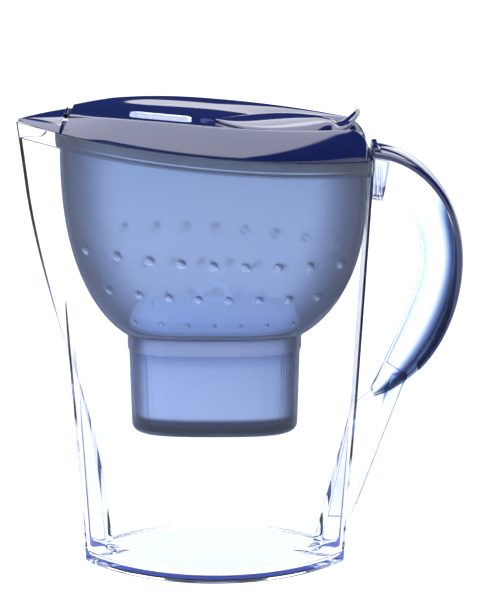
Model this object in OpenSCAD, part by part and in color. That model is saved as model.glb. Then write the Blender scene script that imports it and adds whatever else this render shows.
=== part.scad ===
// Water filter pitcher with a flip lid: jug, handle, funnel, filter cartridge and lid.
// +X points to the handle, -X to the beak, +Z up. The origin is the middle of the foot.

/* [Jug] */
// Height of the rim above the table at mid length
jug_h = 241; // [228:1:256]
// Length of the foot
base_l = 148; // [142:1:154]
// Length of the rim without the beak
rim_l = 174; // [171:1:178]
// Width of the foot
base_w = 94; // [88:1:96]
// Width of the rim
rim_w = 104; // [100:1:110]
// Width of the blunt end at the foot
base_end_w = 22; // [18:1:26]
// Width of the blunt end at the rim
rim_end_w = 36; // [32:1:40]
// Fall of the rim towards the handle, in degrees
rim_slope = 5.3; // [3:0.1:7]
// How far the beak reaches past the end of the rim
beak_reach = 22; // [18:1:26]
// Depth of the notch under the beak, at the foot
front_notch = 14; // [10:1:18]
// Depth of the notch under the handle, at the foot
rear_notch = 17; // [12:1:20]
// Height at which the notch under the handle ends
notch_h = 97; // [88:1:103]
// Wall of the jug
wall = 2.4; // [2:0.1:2.8]
// Thickness of the floor
floor_t = 4; // [3:0.5:6]
// Wall above the ledge that carries the funnel
lip_wall = 1.3; // [1:0.1:1.5]
// Depth of that ledge below the rim
ledge_d = 8.6; // [7:0.1:10]

/* [Handle] */
// How far the back of the handle stands out past the end of the rim
grip_reach = 50.5; // [46:0.5:54]
// Depth of the grip at its middle, from finger side to back
grip_d = 23.5; // [20:0.5:26]
// Width of the grip
grip_w = 26; // [22:1:30]
// Wall of the grip
grip_wall = 2.2; // [1.8:0.1:2.6]
// Height of the finger side of the grip where it meets the jug
grip_top = 208; // [202:1:211]
// Height of the grip's lower tip
grip_tip = 95; // [92:1:103]
// Thickness of the trim at its thick end
trim_t = 5.5; // [4:0.1:6.5]
// Radius of the trim's hook
hook_r = 2.6; // [2:0.1:3]
// Thickness of the web under the grip
web_t = 2.6; // [2:0.1:4]
// Width of the web's thicker border
web_border = 7; // [5:0.5:9]
// Thickness of the web's border
web_border_t = 5; // [4:0.1:6]

/* [Funnel] */
// Wall of the funnel
funnel_wall = 1.8; // [1.5:0.1:2.1]
// Clearance between the funnel's band and the lip of the jug
band_gap = 0.35; // [0.3:0.05:0.5]
// Height of the shoulder above the cartridge chamber
shoulder_h = 135; // [130:1:139]
// Depth of the cartridge chamber
chamber_d = 57; // [54:1:60]
// Length of the chamber at its collar
chamber_l = 96; // [92:1:98]
// Width of the chamber at its collar
chamber_w = 56; // [52:1:58]
// Taper of the chamber a side, from collar to floor
chamber_taper = 1.9; // [1:0.1:2.5]
// Length of the outlet in the chamber's floor
outlet_l = 40; // [30:1:50]

/* [Cartridge] */
// Clearance between cartridge and chamber
cartridge_gap = 0.6; // [0.5:0.1:0.9]
// Wall of the cartridge case
case_wall = 1.4; // [1.2:0.1:1.6]
// Height of the cartridge's domed cap
cap_h = 11; // [8:1:13]
// Thickness of the sieves
sieve_t = 1; // [0.8:0.1:1.4]
// Outer radius of the pull ring
ring_r = 10; // [9:0.5:11]

/* [Lid] */
// Height of the lid's side ridges above the rim
ridge_h = 15; // [14:0.5:17]
// Height of the sunken deck above the rim
deck_h = 10; // [9.5:0.1:10.5]
// Thickness of the lid's shell
lid_wall = 2; // [1.8:0.1:2.2]
// Distance from mid length to the split in front of the lid
split_x = 79.5; // [77.5:0.5:81]
// Distance from mid length to the rear end of the lid
nose_x = 84.5; // [83.5:0.5:85]
// Distance from mid length to the hinge of the refill flap
hinge_x = 68; // [66:0.5:69]
// Largest width of the refill flap
flap_w = 38; // [34:1:40]
// Height of the thumb tab above the rim
tab_h = 24; // [22:0.5:26]
// Radius of the refill flap's pin
pin_r = 1.1; // [1:0.1:1.2]
// Running clearance around both hinge pins
pin_gap = 0.05; // [0.04:0.01:0.08]
// Radius of the spout flap's pin
spout_pin_r = 0.8; // [0.7:0.05:0.9]

/* [Indicator] */
// Length of the window
window_l = 34; // [30:1:38]
// Width of the window
window_w = 18; // [15:1:18]
// Distance from mid length to the middle of the window
window_x = 29; // [28:0.5:30]
// Radius of the start button
button_r = 3.5; // [3:0.1:4]
// Distance from mid length to the start button
button_x = 4; // [3:0.5:5]

/* [Hidden] */
$fn = 48;
// Steps along each long side of an outline
side_steps = 16;
// Below the rim by this much the rings lie parallel to the sloping rim
parallel_d = 30;
// Vertical clearance between pieces that rest on each other
seat = 0.1;
// Gap left between pieces that are welded or clipped into one
joint_gap = 0.05;
fall = tan(rim_slope);
ledge_z = jug_h - ledge_d;
chamber_z = shoulder_h - chamber_d;
// The oval of the cartridge and its chamber is a superellipse of this power
oval_power = 3.2;

// --- Helpers ---

function blend(a, b, t) = a + (b - a) * t;
function unit(t) = min(1, max(0, t));
function ease(t) = let(u = unit(t)) u * u * (3 - 2 * u);

// Height of a ring's point: rings above from_z lean over until they are parallel to the rim
function lean(x, z, from_z = 0) =
  z - x * fall * unit((z - from_z) / (jug_h - parallel_d - from_z));
function raise(points, z, from_z = 0) = [for (p = points) [p.x, p.y, lean(p.x, z, from_z)]];
// The same, for a height measured up from the rim's plane
function on_rim(points, z) = [for (p = points) [p.x, p.y, jug_h + z - p.x * fall]];

// Moves each side of a closed outline inwards by t
function edge_normal(a, b) = let(d = b - a) [-d.y, d.x] / norm(d);
function inset(points, t) =
  let(n = len(points))
  [for (i = [0:n - 1])
    let(a = edge_normal(points[(i + n - 1) % n], points[i]))
    let(b = edge_normal(points[i], points[(i + 1) % n]))
    points[i] + t * (a + b) / (1 + a * b)];

// Half width at x of a lens: two arcs over half length l, from end half width e to middle w
function arc_r(l, e, w) = (l * l + (w - e) * (w - e)) / (2 * (w - e));
function lens_y(x, l, e, w) = let(r = arc_r(l, e, w)) w - r + sqrt(r * r - x * x);
// Closed outline of a lens with a point at each end, the front one towards -X
function lens(l, e, w, front, rear) =
  let(a = asin(l / arc_r(l, e, w)))
  let(side = [for (i = [0:side_steps])
    let(x = arc_r(l, e, w) * sin(blend(-a, a, i / side_steps))) [x, lens_y(x, l, e, w)]])
  concat(
    [for (p = side) [p.x, -p.y]],
    [[rear, 0]],
    [for (i = [side_steps:-1:0]) side[i]],
    [[-front, 0]]);

// Puts a lens's points onto an oval of half length a and half width b
function oval_point(p, l, w, a, b) =
  let(u = abs(p.x) / l)
  let(v = abs(p.y) / w)
  let(s = pow(pow(u, oval_power) + pow(v, oval_power), -1 / oval_power))
  [sign(p.x) * u * s * a, sign(p.y) * v * s * b];
plain_lens = lens(rim_l / 2, rim_end_w / 2, rim_w / 2, rim_l / 2, rim_l / 2);
function oval(a, b) = [for (p = plain_lens) oval_point(p, rim_l / 2, rim_w / 2, a, b)];

// A solid from rings of equal length: capped at both ends, or joined end to end
module skin(rings, joined = false) {
  n = len(rings[0]);
  m = len(rings);
  turns = joined ? m : m - 1;
  sides = [for (k = [0:turns - 1], i = [0:n - 1])
    let(a = k * n + i)
    let(b = k * n + (i + 1) % n)
    let(c = ((k + 1) % m) * n + i)
    let(d = ((k + 1) % m) * n + (i + 1) % n)
    each [[a, c, b], [b, c, d]]];
  caps = joined ? [] : [[for (i = [0:n - 1]) i], [for (i = [n - 1:-1:0]) (m - 1) * n + i]];
  polyhedron(points = [for (r = rings) each r], faces = concat(sides, caps), convexity = 12);
}

// A solid from stations that each have a front chain and a back chain of points
module strip(stations) {
  k = len(stations[0][0]);
  n = 2 * k;
  m = len(stations);
  rings = [for (s = stations) concat(s[0], [for (i = [k - 1:-1:0]) s[1][i]])];
  sides = [for (j = [0:m - 2], i = [0:n - 1])
    let(a = j * n + i)
    let(b = j * n + (i + 1) % n)
    let(c = a + n)
    let(d = b + n)
    each [[a, c, b], [b, c, d]]];
  ends = [for (i = [0:k - 2])
    each [[i, i + 1, n - 2 - i], [i, n - 2 - i, n - 1 - i]]];
  last = (m - 1) * n;
  far = [for (f = ends) [last + f[0], last + f[2], last + f[1]]];
  polyhedron(points = [for (r = rings) each r], faces = concat(sides, ends, far), convexity = 12);
}

// A round bar across the pitcher
module along_y(pos, r, from, to) {
  translate([pos.x, from, pos.z])
    rotate([-90, 0, 0])
      cylinder(r = r, h = to - from);
}

// --- Jug ---

function end_x(z) = blend(base_l, rim_l, z / jug_h) / 2;
// The beak's keel starts inside the foot's end and swings out past the rim's end
function keel_x(z) = blend(
  base_l / 2 - front_notch,
  rim_l / 2 + beak_reach,
  0.6 * z / jug_h + 0.4 * ease((z / jug_h - 0.19) / 0.67));
function rear_x(z) = z >= notch_h
  ? end_x(z)
  : blend(base_l / 2 - rear_notch, end_x(notch_h), z / notch_h);
function end_half(z) = blend(base_end_w, rim_end_w, z / jug_h) / 2;
function mid_half(z) = blend(base_w, rim_w, z / jug_h) / 2;
function jug_outline(z) = lens(end_x(z), end_half(z), mid_half(z), keel_x(z), rear_x(z));
// The same outline with both ends cut off flat
function blunt(z) = lens(end_x(z), end_half(z), mid_half(z), end_x(z), end_x(z));
jug_levels = concat(
  [for (i = [0:5]) i * notch_h / 5],
  [for (i = [1:7]) blend(notch_h, ledge_z, i / 7)]);

// The jug's flat end under the handle, at a height above the table
function unleant(z) = z + end_x(z) * fall * unit(z / (jug_h - parallel_d));
function side_x(z) = end_x(unleant(z)) + joint_gap;

module jug_body() {
  outer = [for (z = jug_levels) raise(jug_outline(z), z)];
  lip_out = raise(jug_outline(jug_h), jug_h);
  lip_in = [for (z = [jug_h, ledge_z]) raise(inset(jug_outline(z), lip_wall), z)];
  inner_levels = concat([for (i = [len(jug_levels) - 1:-1:1]) jug_levels[i]], [floor_t]);
  inner = [for (z = inner_levels) raise(inset(jug_outline(z), wall), z)];
  color([0.86, 0.91, 1, 0.35])
    skin(concat(outer, [lip_out], lip_in, inner));
}

// --- Handle ---

function bezier(p, t) = let(u = 1 - t)
  u * u * u * p[0] + 3 * u * u * t * p[1] + 3 * u * t * t * p[2] + t * t * t * p[3];
function two_beziers(a, b, t) = t < 0.5 ? bezier(a, 2 * t) : bezier(b, 2 * t - 1);

grip_x = rim_l / 2;
mid_z = blend(grip_tip, grip_top, 0.7);
root_z = jug_h - grip_x * fall;
trim_top = root_z + trim_t + 0.5;
back_x = grip_x + grip_reach;
finger_x = back_x - grip_d;
grip_h = grip_top - grip_tip;
tip_x = end_x(grip_tip) + 6;
root_in = [side_x(grip_top), grip_top];
root_out = [side_x(trim_top), trim_top];
// How far the curves run straight on from the root, above and below the bend, and from the tip
root_pull = grip_reach / 2;
bend_up = grip_h * 0.34;
bend_down = grip_h * 0.37;
tip_pull = grip_reach * 0.47;
// Finger side and back of the handle in side view, from the rim down to the tip
finger_a = [
  root_in,
  [root_in.x + root_pull * 0.75, grip_top - 1],
  [finger_x, mid_z + bend_up / 2],
  [finger_x, mid_z]
];
finger_b = [
  [finger_x, mid_z],
  [finger_x, mid_z - bend_down / 2],
  [tip_x + tip_pull / 4, grip_tip + grip_h / 8],
  [tip_x, grip_tip]
];
back_a = [root_out, [root_out.x + root_pull, trim_top - 2], [back_x, mid_z + bend_up], [back_x, mid_z]];
back_b = [
  [back_x, mid_z],
  [back_x, mid_z - bend_down],
  [tip_x + tip_pull, grip_tip + 3],
  [tip_x, grip_tip - 1]
];
function finger(t) = two_beziers(finger_a, finger_b, t);
function back(t) = two_beziers(back_a, back_b, t);

grip_steps = 22;
chain_steps = 10;
grip_end = 0.965;
trim_end = 0.8;
function trim_depth(t) = trim_t * (t < 0.5
  ? blend(1, 0.72, t / 0.5)
  : blend(0.72, 0.1, ease((t - 0.5) / (trim_end - 0.5))));
function grip_half(t) = grip_w / 2 * (t < 0.6 ? 1 : blend(1, 0.3, ease((t - 0.6) / 0.4)));
// A point of the handle's section at t: r out from the finger side, y across
function section_point(t, r, y) =
  let(a = finger(t))
  let(d = (back(t) - a) / norm(back(t) - a))
  [a.x + d.x * r, y, a.y + d.y * r];
function section_depth(t) = norm(back(t) - finger(t));
function grip_depth(t) = section_depth(t) - max(trim_depth(t), 0.3) - 0.2;
function bow(a) = 1 - pow(abs(cos(a)), 0.6);
function chain_angle(i) = blend(-90, 90, i / chain_steps);

function grip_chain(t, inside) =
  let(w = grip_half(t) - inside)
  let(depth = grip_depth(t))
  [for (i = [0:chain_steps])
    let(a = chain_angle(i))
    section_point(t, inside + (depth - inside) * bow(a), w * sin(a))];
function grip_wall_at(t) = min(grip_wall, grip_half(t) * 0.45, section_depth(t) * 0.3);

// The web fills the notch under the grip and runs out at the foot
web_low = 24;
web_from = 0.84;
web_top = let(p = section_point(web_from, section_depth(web_from) - 2, 0)) [p.x, p.z];
web_steps = 6;
web_dip = 4;
function web_edge(i) = blend([side_x(web_low) + 1.5, web_low], web_top, i / web_steps);
function web_root(z) =
  let(apex = rear_x(unleant(z)))
  apex + web_t * (side_x(z) - apex) / base_end_w + 8 * joint_gap;
module web_outline(border) {
  root = [for (i = [0:24]) let(z = blend(web_low, grip_tip - web_dip, i / 24)) [web_root(z), z]];
  under = [for (i = [0:4])
    let(p = section_point(blend(grip_end, web_from, i / 4), 0.8, 0)) [p.x, p.z]];
  edge = [for (i = [web_steps:-1:0]) web_edge(i)];
  polygon(border
    ? concat([for (i = [1:web_steps]) web_edge(i) - [web_border * i / web_steps, 0]],
      [for (i = [web_steps:-1:1]) web_edge(i) + [0.2, 0]])
    : concat(root, under, edge));
}

// A solid plug closes the hollow grip where it meets the jug
plug_from = 0.004;
plug_to = 0.06;
function plug_ring(t) =
  let(w = grip_half(t) - 0.3)
  [for (i = [0:chain_steps])
    let(a = chain_angle(i))
    section_point(t, 0.3 + (grip_depth(t) - 1.3) * bow(a), w * sin(a))];

module handle_grip() {
  stations = [for (i = [0:grip_steps])
    let(t = grip_end * i / grip_steps)
    [grip_chain(t, 0), grip_chain(t, grip_wall_at(t))]];
  color([0.86, 0.91, 1, 0.45]) {
    strip(stations);
    skin([for (t = [plug_from, plug_to / 2, plug_to]) plug_ring(t)]);
    rotate([90, 0, 0]) {
      translate([0, 0, -web_t / 2])
        linear_extrude(web_t)
          web_outline(false);
      translate([0, 0, -web_border_t / 2])
        linear_extrude(web_border_t)
          web_outline(true);
    }
  }
}

function trim_chain(t, outside) =
  let(w = grip_half(t) + 0.3)
  let(depth = trim_depth(t))
  let(r = section_depth(t) - depth)
  [for (i = [0:chain_steps])
    let(a = chain_angle(i))
    section_point(t, r + (outside ? depth * (0.25 + 0.75 * pow(abs(cos(a)), 0.7)) : 0), w * sin(a))];

hook_out = 0.8;
module handle_trim() {
  steps = 20;
  stations = [for (i = [0:steps])
    let(t = trim_end * i / steps)
    [trim_chain(t, false), trim_chain(t, true)]];
  color([0.09, 0.14, 0.4]) {
    strip(stations);
    along_y([root_out.x + hook_out, 0, trim_top - hook_r], hook_r, -grip_w / 2, grip_w / 2);
  }
}

// --- Funnel ---

band_out = lip_wall + band_gap;
band_in = band_out + funnel_wall;
bowl_out = wall + 1.6;
function bowl_spread(u) = pow(1 - pow(1 - u, 2.6), 0.75);
shoulder_out = 1.3;
bowl_low = [chamber_l / 2 + shoulder_out, chamber_w / 2 + shoulder_out];
bowl_bottom = shoulder_h + funnel_wall;
bowl_top = inset(blunt(ledge_z), bowl_out);
function bowl_ring(u) =
  let(low = oval(bowl_low.x, bowl_low.y))
  let(s = bowl_spread(u))
  [for (i = [0:len(low) - 1]) blend(low[i], bowl_top[i], s)];
function bowl_z(u) = blend(shoulder_h, ledge_z, u);
bowl_steps = [0, 0.03, 0.08, 0.15, 0.24, 0.34, 0.46, 0.6, 0.74, 0.87, 1];

module funnel() {
  low = [chamber_l / 2 - chamber_taper, chamber_w / 2 - chamber_taper];
  top = [chamber_l / 2, chamber_w / 2];
  corner = 4;
  collar = 9;
  outlet = [outlet_l / 2, outlet_l / 4];
  outer = concat(
    [raise(oval(outlet.x, outlet.y), chamber_z, shoulder_h)],
    [raise(oval(low.x - corner, low.y - corner), chamber_z, shoulder_h)],
    [raise(oval(low.x - 1, low.y - 1), chamber_z + 1.2, shoulder_h)],
    [raise(oval(low.x, low.y), chamber_z + corner, shoulder_h)],
    [raise(oval(top.x - 0.8, top.y - 0.8), shoulder_h - collar - 1, shoulder_h)],
    [raise(oval(top.x, top.y), shoulder_h - collar, shoulder_h)],
    [raise(oval(top.x, top.y), shoulder_h, shoulder_h)],
    [for (u = bowl_steps) raise(bowl_ring(u), bowl_z(u), shoulder_h)],
    [raise(inset(blunt(ledge_z), band_out), ledge_z + seat, shoulder_h)],
    [raise(inset(blunt(jug_h), band_out), jug_h - 0.6, shoulder_h)]);
  inner = concat(
    [raise(inset(blunt(jug_h), band_in), jug_h - 0.6, shoulder_h)],
    [raise(inset(blunt(ledge_z), band_in), ledge_z + funnel_wall, shoulder_h)],
    [for (i = [len(bowl_steps) - 1:-1:0])
      let(u = bowl_steps[i])
      let(up = funnel_wall * (1 - pow(u, 4)))
      raise(inset(bowl_ring(u), funnel_wall), bowl_z(u) + up, shoulder_h)],
    [raise(oval(top.x - 0.8 - funnel_wall, top.y - 0.8 - funnel_wall), bowl_bottom, shoulder_h)],
    [raise(oval(low.x - funnel_wall, low.y - funnel_wall), chamber_z + corner, shoulder_h)],
    [raise(oval(low.x - corner, low.y - corner), chamber_z + funnel_wall, shoulder_h)],
    [raise(oval(outlet.x, outlet.y), chamber_z + funnel_wall, shoulder_h)]);
  color([0.45, 0.55, 0.8, 0.6])
    skin(concat(outer, inner), joined = true);
}

// --- Cartridge ---

chamber_in = [chamber_l / 2 - 0.8 - funnel_wall, chamber_w / 2 - 0.8 - funnel_wall];
case_top = chamber_in - [cartridge_gap, cartridge_gap];
case_low = case_top - [chamber_taper - 0.8, chamber_taper - 0.8] - [0.6, 0.6];
case_z = chamber_z + funnel_wall + 4;
seal_t = 1;
seal_gap = 0.3;
seal_z = bowl_bottom + seal_gap;
flange = bowl_low - [funnel_wall + 0.5, funnel_wall + 0.5];
flange_z = seal_z + seal_t + seat / 2;
flange_t = 1.6;
cap_z = flange_z + flange_t + seat / 2;
granule_low = case_z + case_wall + sieve_t + seat;
granule_top = flange_z - 1 - sieve_t - seat;

function flat(points, z) = [for (p = points) [p.x, p.y, z]];
function case_half(z, less) =
  let(t = (z - case_z) / (flange_z - case_z))
  [blend(case_low.x, case_top.x, t) - less, blend(case_low.y, case_top.y, t) - less];
function case_ring(z, less) = let(h = case_half(z, less)) flat(oval(h.x, h.y), z);

module cartridge_case() {
  drain = 3;
  color([0.93, 0.94, 0.96])
    difference() {
      skin([
        case_ring(case_z, 0),
        case_ring(flange_z, 0),
        flat(oval(flange.x, flange.y), flange_z),
        flat(oval(flange.x, flange.y), flange_z + flange_t),
        case_ring(flange_z + flange_t, case_wall),
        case_ring(case_z + case_wall, case_wall)
      ]);
      for (i = [-2:2])
        translate([i * 12, 0, case_z - 1])
          cylinder(r = drain, h = case_wall + 2);
    }
}

module cartridge_cap() {
  t = 1.4;
  rise = [[1, 0.16], [0.97, 0.45], [0.85, 0.75], [0.62, 0.93], [0.3, 1]];
  foot = flange - [1, 1];
  rings_out = concat(
    [flat(oval(foot.x, foot.y), cap_z)],
    [for (r = rise) flat(oval(foot.x * r[0], foot.y * r[0]), cap_z + cap_h * r[1])]);
  rings_in = concat(
    [flat(oval(foot.x * 0.3 - 0.2, foot.y * 0.3 - 0.2), cap_z + cap_h - t)],
    [for (i = [3:-1:0]) let(r = rise[i])
      flat(oval(foot.x * r[0] - t, foot.y * r[0] - t), cap_z + cap_h * r[1] - t * r[1])],
    [flat(oval(foot.x - t, foot.y - t), cap_z)]);
  color([0.9, 0.92, 0.95])
    difference() {
      skin(concat(rings_in, rings_out));
      for (side = [-1, 1], i = [0:3])
        translate([side * (16 + 6 * i) - 1, -9 + i, cap_z - 1])
          cube([2, 18 - 2 * i, cap_h + 2]);
    }
}

module cartridge_ring() {
  t = 3;
  hole_r = ring_r - 2.8;
  color([0.9, 0.92, 0.95])
    translate([0, t / 2, cap_z + cap_h])
      rotate([90, 0, 0])
        linear_extrude(t)
          difference() {
            intersection() {
              circle(ring_r);
              translate([-ring_r, 0])
                square([2 * ring_r, ring_r]);
            }
            intersection() {
              circle(hole_r);
              translate([-hole_r, 1.6])
                square([2 * hole_r, hole_r]);
            }
          }
}

module cartridge_seal() {
  inner = case_top + [0.2, 0.2];
  color([0.25, 0.27, 0.3])
    skin([
      flat(oval(inner.x, inner.y), seal_z),
      flat(oval(flange.x, flange.y), seal_z),
      flat(oval(flange.x, flange.y), seal_z + seal_t),
      flat(oval(inner.x, inner.y), seal_z + seal_t)
    ], joined = true);
}

module sieve(z) {
  h = case_half(z, case_wall + 0.25);
  color([0.85, 0.86, 0.88])
    translate([0, 0, z])
      linear_extrude(sieve_t)
        difference() {
          polygon(oval(h.x, h.y));
          for (x = [-3:3], y = [-1:1])
            translate([x * 10, y * 9])
              circle(r = 1.6, $fn = 24);
        }
}

module upper_sieve() {
  sieve(granule_top + seat);
}

module lower_sieve() {
  sieve(case_z + case_wall + seat / 2);
}

module filter_granules() {
  color([0.22, 0.22, 0.24])
    skin([
      case_ring(granule_low, case_wall + 0.25),
      case_ring(granule_top, case_wall + 0.25)
    ]);
}

// --- Lid ---

lid_seat = 0.3;
// Half width of the lid's lower edge
function lid_half(x) =
  let(y = lens_y(min(x, nose_x - 4), rim_l / 2, rim_end_w / 2, rim_w / 2))
  x > nose_x - 4 ? y - 8 * pow((x - nose_x + 4) / 4, 2) : y;
function ridge_z(x) = x < 0
  ? ridge_h - 5.5 * pow(-x / split_x, 2.2)
  : x < nose_x - 12
    ? ridge_h + x / 76
    : (ridge_h + 1) * sqrt(1 - pow((x - nose_x + 12) / 12.4, 2));
// The deck dips towards the split in front and towards the hinge behind
front_dip_l = 27.5;
rear_dip_l = 12;
function deck_z(x) = min(
  ridge_z(x) * 0.93,
  deck_h - 0.8 * ease((front_dip_l - x - split_x) / front_dip_l)
    - 1.6 * ease((x - hinge_x + rear_dip_l) / rear_dip_l));
band_lean = 0.62;
function ridge_half(x) = lid_half(x) - band_lean * ridge_z(x);
function deck_half(x) = min(21, ridge_half(x) * 0.56);

band_steps = 5;
// Half section of the lid at x, from the lower edge over the ridge to the middle
function lid_profile(x) =
  let(w = lid_half(x))
  let(r = ridge_half(x))
  let(z = ridge_z(x))
  let(d = deck_half(x))
  let(low = deck_z(x))
  concat(
    [for (i = [0:band_steps])
      let(s = i / band_steps) [w - (w - r) * pow(s, 1.7), blend(lid_seat, z, s)]],
    [[r - 1, z + 0.1]],
    [for (s = [0.25, 0.5, 0.75]) [blend(r - 1, d, s), blend(z, low, ease(s))]],
    [[d, low]],
    [[d / 2, low]]);
function lid_profile_in(x) =
  let(w = lid_half(x) - lid_wall)
  let(r = max(1.2, ridge_half(x) - 0.6 * lid_wall))
  let(z = ridge_z(x) - lid_wall)
  let(d = min(deck_half(x), r * 0.8))
  let(low = min(z * 0.95, deck_z(x) - lid_wall))
  concat(
    [for (i = [0:band_steps])
      let(s = i / band_steps) [w - (w - r) * pow(s, 1.7), blend(lid_seat, z, s)]],
    [[r * 0.97, z]],
    [for (s = [0.25, 0.5, 0.75]) [blend(r * 0.97, d, s), blend(z, low, ease(s))]],
    [[d, low]],
    [[d / 2, low]]);
// The front end of the lid leans back towards the top
rake = 0.45;
function raked(x, z) = x + rake * z * unit(1 - (x + split_x + 2) / 25);
function mirrored(half) =
  concat([for (p = half) [-p.x, p.y]], [[0, half[len(half) - 1].y]],
    [for (i = [len(half) - 1:-1:0]) half[i]]);
function lid_chain(x, half) = [for (p = mirrored(half))
  let(px = raked(x, p.y)) [px, p.x, jug_h + p.y - px * fall]];
lid_stations = concat(
  [for (i = [0:12]) blend(-split_x - 2, 20, i / 12)],
  [for (i = [1:9]) blend(20, nose_x - 12, i / 9)],
  [for (d = [8, 5.5, 3.5, 2, 0.8, 0]) nose_x - d]);

// Closes the lid's hollow between two stations
module bulkhead(from, to) {
  floor_z = liner_low + liner_t + seat;
  strip([for (x = [from, to])
    let(half = [for (p = lid_profile(x)) [p.x - 0.3, max(floor_z + 0.5, p.y - 0.3)]])
    [lid_chain(x, [for (p = half) [p.x, floor_z]]), lid_chain(x, half)]]);
}

// Puts a piece flat on the sunken deck at x
module on_deck(x) {
  translate([x, 0, jug_h + deck_h - x * fall])
    rotate([0, rim_slope, 0])
      children();
}

module rounded_slot(l, w, r) {
  square([l - 2 * r, w], center = true);
  square([l, w - 2 * r], center = true);
  for (sx = [-1, 1], sy = [-1, 1])
    translate([sx * (l / 2 - r), sy * (w / 2 - r)])
      circle(r);
}

// Plan of the refill flap and of the opening under it
leaf_front = 1;
function leaf_half(x) =
  let(t = unit((x - leaf_front) / (hinge_x + 8 - leaf_front)))
  flap_w / 2 * sin(180 * pow(t, 0.85));
opening_rim = 4;
opening_end = hinge_x - 10;
module refill_opening(low, high) {
  steps = 12;
  front = leaf_front + 9;
  side = [for (i = [0:steps])
    let(x = blend(front, opening_end, i / steps)) [x, leaf_half(x) - opening_rim]];
  translate([0, 0, low])
    linear_extrude(high - low)
      polygon(concat([for (p = side) [p.x, -p.y]], [for (i = [steps:-1:0]) side[i]]));
}

hinge_z = deck_h + 2;
knuckle_r = 2.1;
lug_in = 10.6;
lug_t = 2.6;
hinge_pos = [hinge_x, 0, jug_h + hinge_z - hinge_x * fall];
spout_hinge_x = split_x + 0.9;
spout_hinge_z = 7.4;
spout_pos = [-spout_hinge_x, 0, jug_h + spout_hinge_z + spout_hinge_x * fall];
spout_knuckle_r = 1.5;
spout_lug_in = 6;
spout_lug_t = 2.4;
// Half lengths of the bores for both pins, and how far the cutters reach above the rim
bore_half = flap_w / 2 + 1;
spout_bore_half = spout_lug_in + spout_lug_t + 3.6;
cut_above = 2 * ridge_h + 10;
cut_below = 2 * deck_h;

module lid_shell() {
  color([0.09, 0.14, 0.4])
    difference() {
      union() {
        strip([for (x = lid_stations) [lid_chain(x, lid_profile_in(x)), lid_chain(x, lid_profile(x))]]);
        bulkhead(-split_x - 2, -split_x);
        bulkhead(nose_x - 2, nose_x);
        for (side = [-1, 1]) {
          a = side > 0 ? lug_in : -lug_in - lug_t;
          along_y(hinge_pos, knuckle_r, a, a + lug_t);
          translate([hinge_x - knuckle_r, a, hinge_pos.z - hinge_z + deck_z(hinge_x) - 1])
            cube([2 * knuckle_r, lug_t, hinge_z - deck_z(hinge_x) + 1]);
          b = side > 0 ? spout_lug_in : -spout_lug_in - spout_lug_t;
          along_y(spout_pos, spout_knuckle_r, b, b + spout_lug_t);
          translate([spout_pos.x, b, spout_pos.z - spout_knuckle_r])
            cube([6, spout_lug_t, 2 * spout_knuckle_r - 0.6]);
        }
      }
      refill_opening(jug_h - cut_below, jug_h + cut_above);
      on_deck(-window_x)
        translate([0, 0, -6])
          linear_extrude(12)
            rounded_slot(window_l, window_w, 4);
      on_deck(-button_x)
        translate([0, 0, -6])
          cylinder(r = button_r + button_gap, h = 12);
      along_y(hinge_pos, pin_r + 0.01, -bore_half, bore_half);
      along_y(spout_pos, spout_pin_r + 0.01, -spout_bore_half, spout_bore_half);
    }
}

liner_edge = lid_wall + 0.3;
liner_low = 0.6;
liner_t = 1.6;
skirt_d = 6;
skirt_in = band_in + 0.8;
skirt_wall = 1.5;
// Outline of the lid's underside, t in from the edge and cut off flat at both ends
function lid_cut(t, front, rear) =
  let(r = arc_r(rim_l / 2, rim_end_w / 2, rim_w / 2))
  let(side = [for (i = [0:side_steps])
    let(x = blend(-front, rear, i / side_steps))
    [x, lens_y(x, rim_l / 2, rim_end_w / 2, rim_w / 2) - t / sqrt(1 - x * x / (r * r))]])
  concat([for (p = side) [p.x, -p.y]], [for (i = [side_steps:-1:0]) side[i]]);

module lid_liner() {
  front = split_x - 2;
  rear = nose_x - 8;
  color([0.09, 0.14, 0.4])
    difference() {
      skin([
        on_rim(lid_cut(skirt_in + skirt_wall, front - 2, rear - 2), liner_low),
        on_rim(lid_cut(skirt_in + skirt_wall, front - 2, rear - 2), -skirt_d),
        on_rim(lid_cut(skirt_in, front - 0.5, rear - 0.5), -skirt_d),
        on_rim(lid_cut(skirt_in, front - 0.5, rear - 0.5), liner_low),
        on_rim(lid_cut(liner_edge + 0.4, front, rear), liner_low),
        on_rim(lid_cut(liner_edge + 0.4, front, rear), liner_low + liner_t)
      ]);
      refill_opening(jug_h - cut_below, jug_h + cut_above);
    }
}

// Stations of the refill flap: middle x, z above the rim, tilt, half width, camber, thickness
hood_steps = 12;
flap_gap = 0.3;
hood_rise = 7;
function hood_station(i) =
  let(x = blend(leaf_front, hinge_x - 4, i / hood_steps))
  let(base = deck_z(x) + flap_gap)
  let(rise = hood_rise * pow(sin(min(90, 115 * i / hood_steps)), 1.1) + 0.2)
  [x, base, 0, max(0.8, leaf_half(x)), rise, 1.2];
tab_stations = [
  [hinge_x + 1, hinge_z + 0.6, 25, 9.6, 1.6, 2],
  [hinge_x + 5, blend(hinge_z, tab_h, 0.28), 45, 10.4, 0.4, 2],
  [hinge_x + 8.2, blend(hinge_z, tab_h, 0.58), 60, 9.4, -1, 1.9],
  [hinge_x + 10.2, blend(hinge_z, tab_h, 0.84), 68, 6.4, -1.4, 1.8],
  [hinge_x + 11, tab_h, 72, 2.5, -0.4, 1.6]
];
flap_stations = concat([for (i = [0:hood_steps]) hood_station(i)], tab_stations);
flap_chain_steps = 10;
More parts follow.
